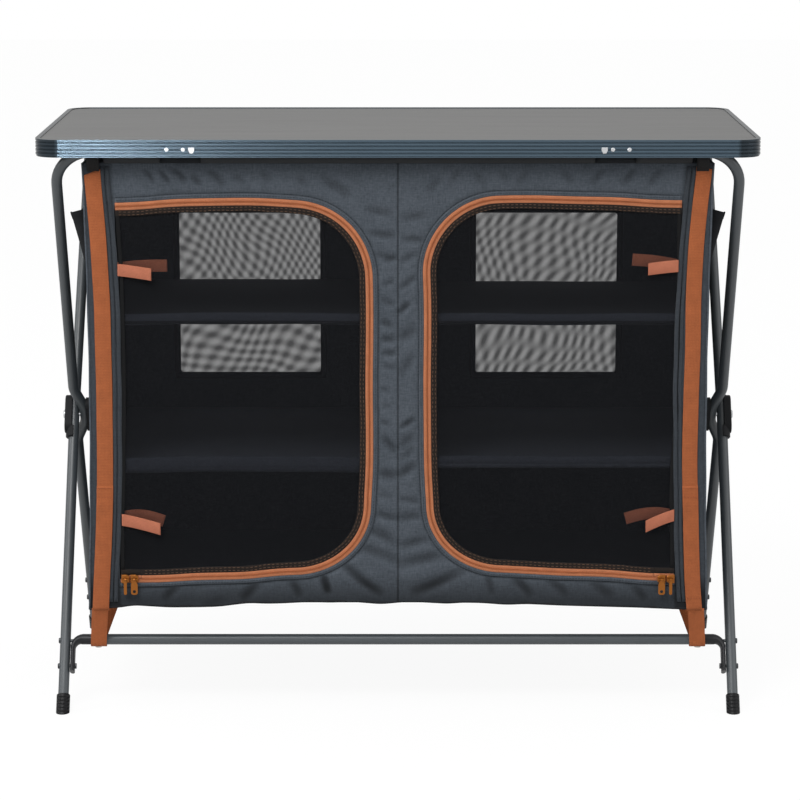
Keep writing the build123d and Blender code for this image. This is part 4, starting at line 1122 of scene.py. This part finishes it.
class CUPBOARD_OT_straps(bpy.types.Operator):
    """Make the corner straps, their loops round the lower bars and the snaps"""

    bl_idname = "cupboard.straps"
    bl_label = "Make the corner straps"

    def execute(self, context):
        webbing = context.scene.cupboard_webbing
        cloth = webbing_material("Strap webbing", webbing.strap, 0.0023)
        # Painted light: the loops take the strap webbing made 1.3 times lighter, where they turn down and
        # under towards the bars.
        lightened_loop_webbing = webbing_material("Loop webbing, painted lighter", tint(webbing.strap, 1.3), 0.0023)
        thread = hard_material("Strap thread", (0.30, 0.075, 0.022), 0.75, grain=800.0, contrast=0.3)
        snap = hard_material("Snap caps", (0.72, 0.70, 0.66), 0.35, grain=500.0, contrast=0.1)
        for end, out, y in (("front", -1, FRONT), ("rear", 1, BACK)):
            runs = []
            for name, side in SIDES:
                first = side < 0
                top = STRAP_END if first else STRAP_END + 0.0062
                upper = strap(f"strap_upper_{end}_{name}", side, out, y, (STRAP_LAP - 0.02, top),
                              STRAP_WIDTH, 0.0, cloth, webbing.strap_wave)
                on_cabinet(upper, *([f"corner_straps_{end}"] if first else []), slot="strap_webbing")
                lower = strap(f"strap_lower_{end}_{name}", side, out, y, (BASE - 0.001, STRAP_LAP),
                              STRAP_WIDTH + 0.0006, 0.0013, cloth, webbing.strap_wave)
                on_cabinet(lower, slot="strap_webbing")
                across = spaced(-0.0115, 0.0115, 0.004)
                for z in (STRAP_LAP - 0.003, STRAP_LAP - 0.017, BASE + 0.018):
                    runs.append(line(side * (strap_middle(z, side) + across), y + out * 0.0033, z))
                loop = strap_loop(f"strap_loop_{end}_{name}", side, out, lightened_loop_webbing)
                on_cabinet(loop, *([f"strap_loops_{end}"] if first else []), slot="strap_webbing")
            sewn = stitches(f"strap_stitching_{end}", runs, (0, out, 0), thread, 0.0004)
            on_cabinet(sewn, slot="strap_webbing")
            solid = NODES[f"strap_snaps_{end}"]
            points = [solid.matrix_world @ vertex.co for vertex in solid.data.vertices]
            faces = [face.vertices for face in solid.data.polygons]
            caps = add_piece(f"strap_snap_caps_{end}", points, faces, snap, smooth=False)
            on_cabinet(caps, f"strap_snaps_{end}", slot=None)
        return {"FINISHED"}


def strap(name, side, out, y, ends, width, lift, material, wave):
    """One flat run of webbing on a corner, between two heights."""
    width -= 0.0012 if side > 0 else 0.0
    low, high = ends
    z = spaced(low, high, 0.006)
    seed = 17 + side * 3 + out * 5
    x = side * (strap_middle(z, side) + wave * soft_noise(z, z * 0 + side, 16.0, seed))
    stand = lift + 0.0004 * (1 + soft_noise(z, z * 0, 22.0, seed + 1)) * ramp(high - z, 0.03)
    slant = (0.37 if side < 0 else -0.16) * ramp(z - (STRAP_END - 0.025), 0.025)
    return swept(name, line(x, y + out * stand, z), line(1.0, 0.0, slant), (0, out, 0),
                 webbing_section(width / 2, 0.0015, 0.00165), material)


def strap_loop(name, side, out, material):
    """The lower loop round a lower bar, with its back run folded inwards."""
    bar_y, bar_z, radius = out * LOWER_BAR_Y, LOWER_BAR_Z, 0.0095
    angles = np.linspace(math.radians(8), math.radians(172), 15)
    round_bar = [(bar_y + out * radius * math.cos(a), bar_z - radius * math.sin(a)) for a in angles]
    front_run = [(out * 0.2255, BASE + 0.001), (out * 0.217, 0.140), (out * 0.2065, 0.120)]
    back_run = [(out * 0.1735, 0.120), (out * 0.168, 0.138), (out * 0.1635, BASE + 0.008)]
    rough = np.array(front_run + round_bar + back_run)
    steps = distances(rough)
    even = spaced(0, steps[-1], 0.004)
    y, z = picked(rough, steps, even).T
    t = even / steps[-1]
    path = line(side * (0.448 + 0.0062 * ramp(t, 0.45) - 0.022 * ramp(t - 0.62, 0.38)), y, z)
    along = unit(np.gradient(path, axis=0))
    sides = square_to(along, RIGHT)
    outs = np.cross(along, sides)
    away = (path - (0.0, bar_y, bar_z + 0.02)) * (0.0, 1.0, 1.0)
    outs *= np.sign((outs * away).sum(1))[:, None]
    return swept(name, path, sides, outs, webbing_section(STRAP_WIDTH / 2, 0.0014), material)


# Centre of the top bars, the radius of their bends and how far the bars of the front and rear frame reach
BAR_Y, BAR_Z = 0.236, 0.8464
BEND = 0.058
BAR_REACH = {-1: 0.501, 1: 0.494}


class CUPBOARD_OT_bar_fabric(bpy.types.Operator):
    """Make the sleeves and black loops round the top bars"""

    bl_idname = "cupboard.bar_fabric"
    bl_label = "Make the bar sleeves"

    def execute(self, context):
        cloth = context.scene.cupboard_cloth
        # Painted shadow: the sleeves and their skirts take the outer cloth made far darker, for the table
        # top's shadow over them.
        dark = cloth_material("Sleeve cloth in painted shadow", tint(cloth.outer_dark, 0.1), tint(cloth.outer_dark, 0.3))
        black = webbing_material("Black webbing", context.scene.cupboard_webbing.black, 0.0013)
        for end, out in (("front", -1), ("rear", 1)):
            made = [sleeve(f"sleeve_{end}_{index + 1}", out, *span, dark)
                    for index, span in enumerate(((-0.430, -0.348), (-0.288, 0.288), (0.348, 0.430)))]
            made += [hang_loop(f"hang_loop_{end}_{name}", out, side, black) for name, side in SIDES]
            for name, side in SIDES if end == "front" else ():
                x = spaced(side * 0.318 - 0.0297, side * 0.318 + 0.0297, 0.008)
                path = line(x, out * 0.2258, TOP - 0.001)
                section = [(0.0, -0.0004), (0.0, 0.0004), (0.0135, 0.0004), (0.0135, -0.0004)]
                made.append(swept(f"sleeve_skirt_{end}_{name}", path, UP, (0, out, 0), section, dark))
            for piece in made:
                slot = "cabinet_fabric" if "sleeve" in piece.name else "black_webbing"
                if end == "front":
                    on_cabinet(piece, slot=slot)
                else:
                    place_on("rear_top_frame", piece, slot=slot)
            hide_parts(f"sleeve_{end}")
            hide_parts(f"hang_loops_{end}")
        return {"FINISHED"}


def over_bar(name, out, bulge, foot_z, across, place, material):
    """Cloth that goes up over a top bar and down again; place(s, y, z) moves each point of its profile."""
    bar_y, radius = out * BAR_Y, 0.0085 + bulge
    angles = np.linspace(math.radians(-35), math.radians(215), 22)
    ring = [(bar_y + out * radius * math.cos(a), BAR_Z + radius * math.sin(a)) for a in angles]
    ring = np.array([(out * 0.2256, foot_z), *ring, (out * 0.2244, foot_z)])
    points = [place(s, y, z) for s in across for y, z in ring]
    uv = [(s, v) for s in across for v in distances(ring)]
    return add_piece(name, points, grid_faces(len(across), len(ring)), material, uv)


def sleeve(name, out, low, high, material):
    """One stretch of sleeve between two clips."""
    bar_y = out * BAR_Y

    def place(x, y, z):
        pinch = 1 + 0.02 * math.sin(x * 95) + 0.015 * math.sin(x * 47 + 1)
        factor = 1 + (pinch - 1) * (1 if z > TOP + 0.004 else 0)
        return x, bar_y + (y - bar_y) * factor, min(BAR_Z + (z - BAR_Z) * factor, 0.8556)

    piece = over_bar(name, out, 0.0, TOP - 0.001, spaced(low, high, 0.008), place, material)
    return thicken(piece, 0.0007, offset=0.0)


def hang_loop(name, out, side, material):
    """Black webbing round the start of a bend, tilted with it."""
    middle = 0.446
    turn = math.asin((middle - (BAR_REACH[out] - BEND)) / BEND)
    drop = BEND * (1 - math.cos(turn))

    def place(s, y, z):
        high = z > TOP + 0.001
        x = middle + s * math.cos(turn) + (z - BAR_Z) * math.sin(turn) * (1 if high else 0.2)
        return side * x, y, z - drop - s * math.sin(turn) if high else z

    piece = over_bar(name, out, 0.0004, STRAP_END + 0.001, spaced(-0.009, 0.009, 0.003), place, material)
    return thicken(piece, 0.0011, offset=0.0)


# Middle of a window, from the middle of the cupboard and from the floor
WINDOW_X, WINDOW_Z = 0.240, 0.567


class CUPBOARD_OT_back(bpy.types.Operator):
    """Make the back panel with its two mesh windows"""

    bl_idname = "cupboard.back"
    bl_label = "Make the back panel"

    def execute(self, context):
        cloth = context.scene.cupboard_cloth
        outer = cloth_material("Back cloth", cloth.outer_dark, cloth.outer_light)
        black = cloth_material("Window binding", cloth.black, tint(cloth.black, 2), 0.4)
        net = net_material("Window mesh", cloth.window_mesh, cloth.window_pitch, 0.86, 0.44, 0.42)
        step = cloth.grid * 1.4
        windows = [window_loop(side, 0.0, step) for _, side in SIDES]
        flat, faces = cut_panel([panel_outline(step), *windows], step)
        x, z = flat[:, 0], flat[:, 1]

        def beside_windows(dice):
            return dice.uniform(-440, 440), dice.choice((dice.uniform(180, 330), dice.uniform(740, 800)))

        folds = chance_folds(41, 26, beside_windows, (40, 50), (6, 12), (-1.4, 1.0))
        relief = 0.0007 * soft_noise(x, z, 22.0, 21) + 0.0004 * soft_noise(x, z, 60.0, 22)
        relief += fold_relief(x, z, folds)
        edge = ramp(TOP - z, 0.012) * ramp(side_x(z) - np.abs(x), 0.01)
        points = line(x, BACK + np.clip(relief, -0.002, 0.0028) * edge, z)
        panel = add_piece("back_cloth", points, [face[::-1] for face in faces], outer, flat)
        thicken(panel, CLOTH_THICKNESS)
        on_cabinet(panel, "back_panel")
        for name, side in SIDES:
            def net_place(a, b):
                return side * WINDOW_X + a, BACK - 0.0030 + 0.0006 * soft_noise(a, b, 30.0, 31 + side), b

            u, v = spaced(-0.123, 0.123, 0.008), spaced(0.427, 0.707, 0.008)
            sheet = grid_piece(f"window_net_{name}", net_place, u, v, net)
            bend_pattern(sheet, side)
            on_cabinet(sheet, *(["back_windows"] if side < 0 else []), slot="window_mesh")
            loop = window_loop(side, 0.004, 0.006)
            along = unit(np.gradient(np.concatenate([loop, loop[:1]]), axis=0)[:-1])
            for surface, lift, out in (("outside", 0.0009, 1), ("inside", -0.0040, -1)):
                path = line(loop[:, 0], BACK + lift, loop[:, 1])
                bound = swept(f"window_binding_{surface}_{name}", path, line(along[:, 1], 0.0, -along[:, 0]),
                              (0, out, 0), rounded_strip(-0.005, 0.005, 0.0009), black, closed=True)
                on_cabinet(bound)
        return {"FINISHED"}


def bend_pattern(sheet, side):
    """Draw the map of a window net out of line, as a slack net lies behind another."""
    layer = sheet.data.uv_layers["cloth"]
    flat = np.zeros(2 * len(layer.data), np.float32)
    layer.data.foreach_get("uv", flat)
    u, v = flat.reshape(-1, 2).T
    t = np.clip((u + 0.12) / 0.24, 0, 1)
    above = v > 0.578
    rise = v - np.where(above, 0.65, 0.50)
    if side < 0:
        bent_u = np.where(above, u * (0.85 + 0.12 * t) + 1.0 * rise * t * (1 - t), 0.45 * u + 0.22 * rise)
        bent_v = np.where(above, rise * (0.9 + 0.35 * t), 1.1 * rise - 0.55 * u)
    else:
        bent_u = np.where(above, 0.72 * u - (0.2 + 0.4 * t) * rise, 0.82 * u - 0.33 * rise)
        bent_v = np.where(above, (0.8 - 0.35 * t) * rise + 0.1 * u, 0.62 * rise)
    bent_u += 0.0060 * soft_noise(u, v, 40.0, 33 + side)
    bent_v += 0.0075 * soft_noise(u, v, 36.0, 37 + side)
    layer.data.foreach_set("uv", np.stack([bent_u, bent_v], -1).astype(np.float32).ravel())


def window_loop(side, margin, step):
    """Outline of a window, with small rounded corners."""
    middle_x, radius = side * WINDOW_X, 0.005 + margin
    reach_x, reach_z = 0.115 + margin - radius, 0.132 + margin - radius
    points = []
    for turn in range(4):
        corner_x, corner_z = reach_x * (1 if turn in (0, 3) else -1), reach_z * (1 if turn < 2 else -1)
        for angle in np.linspace(0, math.pi / 2, 5):
            a = angle + turn * math.pi / 2
            x, z = middle_x + corner_x + radius * math.cos(a), WINDOW_Z + corner_z + radius * math.sin(a)
            points.append((x, z))
    points = np.array(points)
    dense = []
    for start, stop in zip(points, np.roll(points, -1, 0)):
        count = max(1, int(np.linalg.norm(stop - start) / step))
        dense += [start + (stop - start) * k / count for k in range(count)]
    return np.array(dense)


class CUPBOARD_OT_side_walls(bpy.types.Operator):
    """Make the side walls, their corner bindings and the side pockets"""

    bl_idname = "cupboard.side_walls"
    bl_label = "Make the side walls"

    def execute(self, context):
        cloth = context.scene.cupboard_cloth
        outer = cloth_material("Side cloth", cloth.outer_dark, cloth.outer_light)
        black = cloth_material("Pocket cloth", cloth.black, tint(cloth.black, 2), 0.5)
        folds = chance_folds(61, 22, lambda dice: (dice.uniform(-200, 200), dice.uniform(180, 800)),
                             (50, 60), (7, 14), (-1.6, 1.2))
        half = 0.2224
        section = mirrored([(-0.0022, -0.001), (-0.0028, 0.0004), (-0.0018, 0.0016)])
        for name, side in SIDES:
            def wall(a, b):
                relief = 0.0008 * soft_noise(a, b, 20.0, 51 + side) + fold_relief(a, b, folds)
                edge = ramp(half - np.abs(a), 0.02) * ramp(TOP - b, 0.02)
                return side * (side_x(b) - 0.0004 + np.clip(relief, -0.0015, 0.0018) * edge), a, b

            heights = spaced(BASE + 0.0005, TOP - 0.0003, 0.006)
            panel = grid_piece(f"side_cloth_{name}", wall, spaced(-half, half, 0.006), heights, outer)
            thicken(panel, CLOTH_THICKNESS, offset=-float(side))
            on_cabinet(panel, f"side_panel_{name}")
            z = spaced(BASE, TOP - 0.001, 0.01)
            for end, y in (("front", FRONT + 0.001), ("rear", BACK - 0.001)):
                path = line(side * (side_x(z) - 0.0004 + 0.0003 * np.sin(z * 50 + y * 100)), y, z)
                cord = swept(f"corner_seam_{end}_{name}", path, (0, 1, 0), (side, 0, 0), section, outer)
                on_cabinet(cord)
            pocket(name, side, black)
        return {"FINISHED"}


def pocket(name, side, black):
    """A pocket sewn on three sides whose mouth gapes."""
    low, high, gape_from, half = 0.500, 0.757, 0.664, 0.190

    def skin(a, b):
        t = ramp(b - gape_from, high - gape_from)
        held = np.where(np.abs(a) > 0.1903, 0.0, np.where(np.abs(a) > 0.1899, 0.55, 1.0))
        bulge = (a / half) ** 2
        stand = 0.0020 * np.clip(held, 0.25, 1)
        ripple = 0.0007 * soft_noise(a, b, 34.0, 71 + side) * held
        sag = -t * (0.006 * held + 0.021 * np.clip(1 - bulge, 0, 1))
        gape = 0.0245 * t * (1 - 0.15 * bulge) * held
        return side * (side_x(b) + stand + gape + ripple), a * (1 - 0.01 * t), b + sag

    across = np.concatenate([[-0.1905, -0.1901], spaced(-0.1898, 0.1898, 0.006), [0.1901, 0.1905]])
    piece = grid_piece(f"side_pocket_cloth_{name}", skin, across, spaced(low, high, 0.006), black)
    thicken(piece, 0.0010, offset=0.0)
    on_cabinet(piece, f"side_pocket_{name}", slot="pocket_fabric")
    a = spaced(-0.1896, 0.1896, 0.005)
    path = line(*skin(a, high))
    sides = unit((path - line(*skin(a, high - 0.012))) * (1, 0, 1))
    outs = line(side * sides[:, 2], 0.0, -side * sides[:, 0])
    section = [(-0.010, -0.0009), (-0.010, 0.0009), (-0.002, 0.0013), (0.0010, 0.0009), (0.0010, -0.0009),
               (-0.002, -0.0013)]
    on_cabinet(swept(f"pocket_hem_{name}", path, sides, outs, section, black), slot="pocket_fabric")


class CUPBOARD_OT_inside(bpy.types.Operator):
    """Make the roof, floor, divider, shelves and boards"""

    bl_idname = "cupboard.inside"
    bl_label = "Make the inside"

    def execute(self, context):
        cloth = context.scene.cupboard_cloth
        lining = cloth_material("Lining", tint(cloth.lining, 0.7), tint(cloth.lining, 1.35), 0.5)
        # Painted light: the boards take lighter copies of the lining, the lower shelves and floor boards far
        # lighter than the upper shelves.
        lower = cloth_material("Lower board cloth, painted lighter", tint(cloth.lining, 3.8), tint(cloth.lining, 8.0), 0.5)
        upper = cloth_material("Board cloth", cloth.lining, tint(cloth.lining, 2.3), 0.5)
        outer = cloth_material("Roof cloth", cloth.outer_dark, cloth.outer_light)
        for node, material, lift, slot in (
            ("roof_panel", outer, TOP - 0.0008, "cabinet_fabric"), ("floor_panel", lining, 0.1674, "lining"),
        ):
            def level(a, b):
                free = (1 - (a / 0.46) ** 4) * (1 - (b / 0.2225) ** 4)
                return a, b, lift - 0.0010 * (1 + soft_noise(a, b, 14.0, len(node))) * free

            low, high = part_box(node)
            x, y = spaced(low.x, high.x, 0.012), spaced(low.y, high.y, 0.012)
            sheet = grid_piece(f"{node}_cloth", level, x, y, material)
            thicken(sheet, 0.0010)
            on_cabinet(sheet, node, slot=slot)
        low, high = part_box("centre_divider")
        divider = grid_piece("divider_cloth", lambda a, b: (0.0006 * soft_noise(a, b, 18.0, 83), a, b),
                             spaced(low.y, high.y, 0.012), spaced(low.z, high.z, 0.012), lining)
        thicken(divider, 0.0014, offset=0.0)
        on_cabinet(divider, "centre_divider", slot="lining")
        for node, material, drop in (
            ("shelf_lower_left", lower, 0.0), ("shelf_lower_right", lower, 0.0),
            ("shelf_upper_left", upper, 0.006), ("shelf_upper_right", upper, 0.0095),
        ):
            board(f"{node}_pad", *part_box(node), material, node, drop=drop)
            # Painted highlight: each front roll takes the lightest board cloth, for the light along its
            # crest.
            front_roll(node, drop, lower)
        low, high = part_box("floor_boards")
        gap = 0.0016
        board("floor_board_left", low, Vector((-gap, high.y, high.z)), lower, "floor_boards")
        board("floor_board_right", Vector((gap, low.y, low.z)), high, lower)
        return {"FINISHED"}


def board(name, low, high, material, *replaced, drop=0.0):
    """A cloth covered board with rounded edges and a slightly slack top, whose back may hang lower."""
    middle, half = (low + high) / 2, (high - low) / 2
    rim = np.array([0.975, 0.992, 0.9975, 1.0])
    u = np.concatenate([-rim[::-1], spaced(-0.94, 0.94, 0.055), rim])
    a, b = np.meshgrid(u, u)
    edge = np.minimum((1 - np.abs(a)) * half.x, (1 - np.abs(b)) * half.y)
    crown = np.sqrt(np.clip(1 - np.clip(1 - edge / half.z, 0, 1) ** 2, 0, 1))
    slack = np.minimum(0.0006 * soft_noise(a * half.x, b * half.y, 26.0, len(name)), 0)
    points = []
    for way in (1, -1):
        z = middle.z + way * (half.z - 0.0005) * crown * 0.98 + slack * crown * way - drop * (b + 1) / 2
        points.append(np.stack([middle.x + a * half.x, middle.y + b * half.y, z], -1).reshape(-1, 3))
    uv = np.stack([a * half.x, b * half.y], -1).reshape(-1, 2)
    upper = grid_faces(len(u), len(u))
    lower = [tuple(i + len(uv) for i in face[::-1]) for face in upper]
    piece = add_piece(name, np.concatenate(points), upper + lower, material, np.concatenate([uv, uv]))
    piece.modifiers.new("Weld rim", "WELD").merge_threshold = 0.00002
    on_cabinet(piece, *replaced, slot="lining")


def front_roll(node, drop, material):
    """The padded roll along the front of a shelf."""
    low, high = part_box(node)
    bottom, top = low.z + 0.0005, high.z + 0.0075
    if not drop:
        bottom, top = (low.z - 0.006, high.z + 0.0075) if low.x < 0 else (low.z + 0.004, high.z + 0.0093)
    x = spaced(low.x + 0.004, high.x - 0.004, 0.01)
    sway = 0.0008 * soft_noise(x, x * 0, 22.0, len(f"{node}_pad"))
    angles = np.linspace(0, 2 * math.pi, 17)[:-1]
    section = [((top - bottom) / 2 * math.cos(a), 0.0050 * math.sin(a)) for a in angles]
    path = line(x, low.y + 0.0052, (top + bottom) / 2 + sway)
    on_cabinet(swept(f"{node}_front_roll", path, UP, FORWARD, section, material), slot="lining")


class CUPBOARD_OT_stage(bpy.types.Operator):
    """Make the floor, lamps, sky and camera"""

    bl_idname = "cupboard.stage"
    bl_label = "Set the stage"

    def execute(self, context):
        scene = context.scene
        stage = scene.cupboard_stage
        white, g = start_material("White floor", Roughness=0.9, Specular_IOR_Level=0.0)
        rays, seen = direct_rays(g)
        g.surface(Base_Color=g.mix(seen, (0.5, 0.5, 0.5), (0.9, 0.9, 0.9)))
        bright = g.math("MAXIMUM", seen, g.times(rays["Is Glossy Ray"], 0.7))
        glow = g.node("Emission", (1.0, 1.0, 1.0), 1.0)
        blend = g.node("MixShader", g.times(bright, 0.93), g.shader.outputs[0], glow.outputs[0])
        g.feed(white.node_tree.nodes["Material Output"].inputs["Surface"], blend.outputs[0])
        size = 14.0
        points = [(-size, -size, 0), (size, -size, 0), (size, size, 0), (-size, size, 0)]
        add_piece("floor", points, [(0, 1, 2, 3)], white, [(0, 0)] * 4, smooth=False)
        scene.world = bpy.data.worlds.new("Studio")
        scene.world.use_nodes = True
        g = Graph(scene.world.node_tree)
        upward = g.parts(g.node("TexCoord").outputs["Generated"])[2]
        strength = g.node("Mix", direct_rays(g)[1], data_type="FLOAT")
        g.feed(strength.inputs[2], g.span(upward, -0.1, 0.9, stage.sky * 0.4, stage.sky * 1.7))
        g.feed(strength.inputs[3], 1.0)
        background = g.tree.nodes["Background"]
        g.feed(background.inputs["Color"], (1.0, 1.0, 1.0))
        g.feed(background.inputs["Strength"], strength.outputs[0])
        lamp("Key", (-1.3, -2.7, 3.9), (0, 0, 0.45), 1.8, stage.key_power)
        lamp("Left", (-3.6, -0.9, 1.9), (0, 0, 0.5), 1.5, stage.left_power)
        lamp("Right", (3.4, -1.2, 1.6), (0, 0, 0.5), 1.8, stage.right_power)
        strip = lamp("Strip", (-0.93, -4.5, 0.36), (-0.47, -0.25, 0.84), 0.14, stage.strip_power)
        strip.visible_diffuse = False
        data = bpy.data.cameras.new("Camera")
        data.lens = stage.lens
        data.sensor_width = 36.0
        data.clip_end = 60.0
        camera = bpy.data.objects.new("Camera", data)
        camera.location = (stage.camera_side, -stage.camera_distance, stage.camera_height)
        camera.rotation_euler = (math.pi / 2 - stage.camera_pitch, 0, 0)
        scene.collection.objects.link(camera)
        scene.camera = camera
        scene.view_settings.view_transform = "Standard"
        return {"FINISHED"}


def direct_rays(g):
    """The light path, and its rays that see a surface straight or through a net."""
    rays = g.node("LightPath").outputs
    return rays, g.math("MAXIMUM", rays["Is Camera Ray"], rays["Is Transmission Ray"])


def lamp(name, place, target, size, energy):
    """A soft square lamp."""
    data = bpy.data.lights.new(name, "AREA")
    data.size = size
    data.energy = energy
    made = bpy.data.objects.new(name, data)
    made.location = place
    made.rotation_euler = (Vector(target) - Vector(place)).to_track_quat("-Z", "Y").to_euler()
    bpy.context.scene.collection.objects.link(made)
    return made


OPERATORS = (
    CUPBOARD_OT_stage,
    CUPBOARD_OT_table,
    CUPBOARD_OT_frame,
    CUPBOARD_OT_front,
    CUPBOARD_OT_doors,
    CUPBOARD_OT_zip_metal,
    CUPBOARD_OT_tie_backs,
    CUPBOARD_OT_straps,
    CUPBOARD_OT_bar_fabric,
    CUPBOARD_OT_back,
    CUPBOARD_OT_side_walls,
    CUPBOARD_OT_inside,
)
SETTINGS = {
    "cupboard_cloth": CupboardCloth,
    "cupboard_webbing": CupboardWebbing,
    "cupboard_metal": CupboardMetal,
    "cupboard_stage": CupboardStage,
}


class CUPBOARD_PT_panel(bpy.types.Panel):
    """Lists the cupboard's operators in the sidebar"""

    bl_idname = "CUPBOARD_PT_panel"
    bl_label = "Camping cupboard"
    bl_space_type = "VIEW_3D"
    bl_region_type = "UI"
    bl_category = "Cupboard"

    def draw(self, context):
        for operator in OPERATORS:
            self.layout.operator(operator.bl_idname)
        for name, group in SETTINGS.items():
            box = self.layout.box()
            for key in group.__annotations__:
                box.prop(getattr(context.scene, name), key)


def register():
    for group in SETTINGS.values():
        bpy.utils.register_class(group)
    for name, group in SETTINGS.items():
        setattr(bpy.types.Scene, name, PointerProperty(type=group))
    for operator in OPERATORS:
        bpy.utils.register_class(operator)
    bpy.utils.register_class(CUPBOARD_PT_panel)


def unregister():
    bpy.utils.unregister_class(CUPBOARD_PT_panel)
    for operator in reversed(OPERATORS):
        bpy.utils.unregister_class(operator)
    for name in SETTINGS:
        delattr(bpy.types.Scene, name)
    for group in reversed(SETTINGS.values()):
        bpy.utils.unregister_class(group)


def main():
    """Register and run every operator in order."""
    register()
    for operator in OPERATORS:
        area, name = operator.bl_idname.split(".")
        getattr(getattr(bpy.ops, area), name)()


if __name__ == "__main__":
    main()
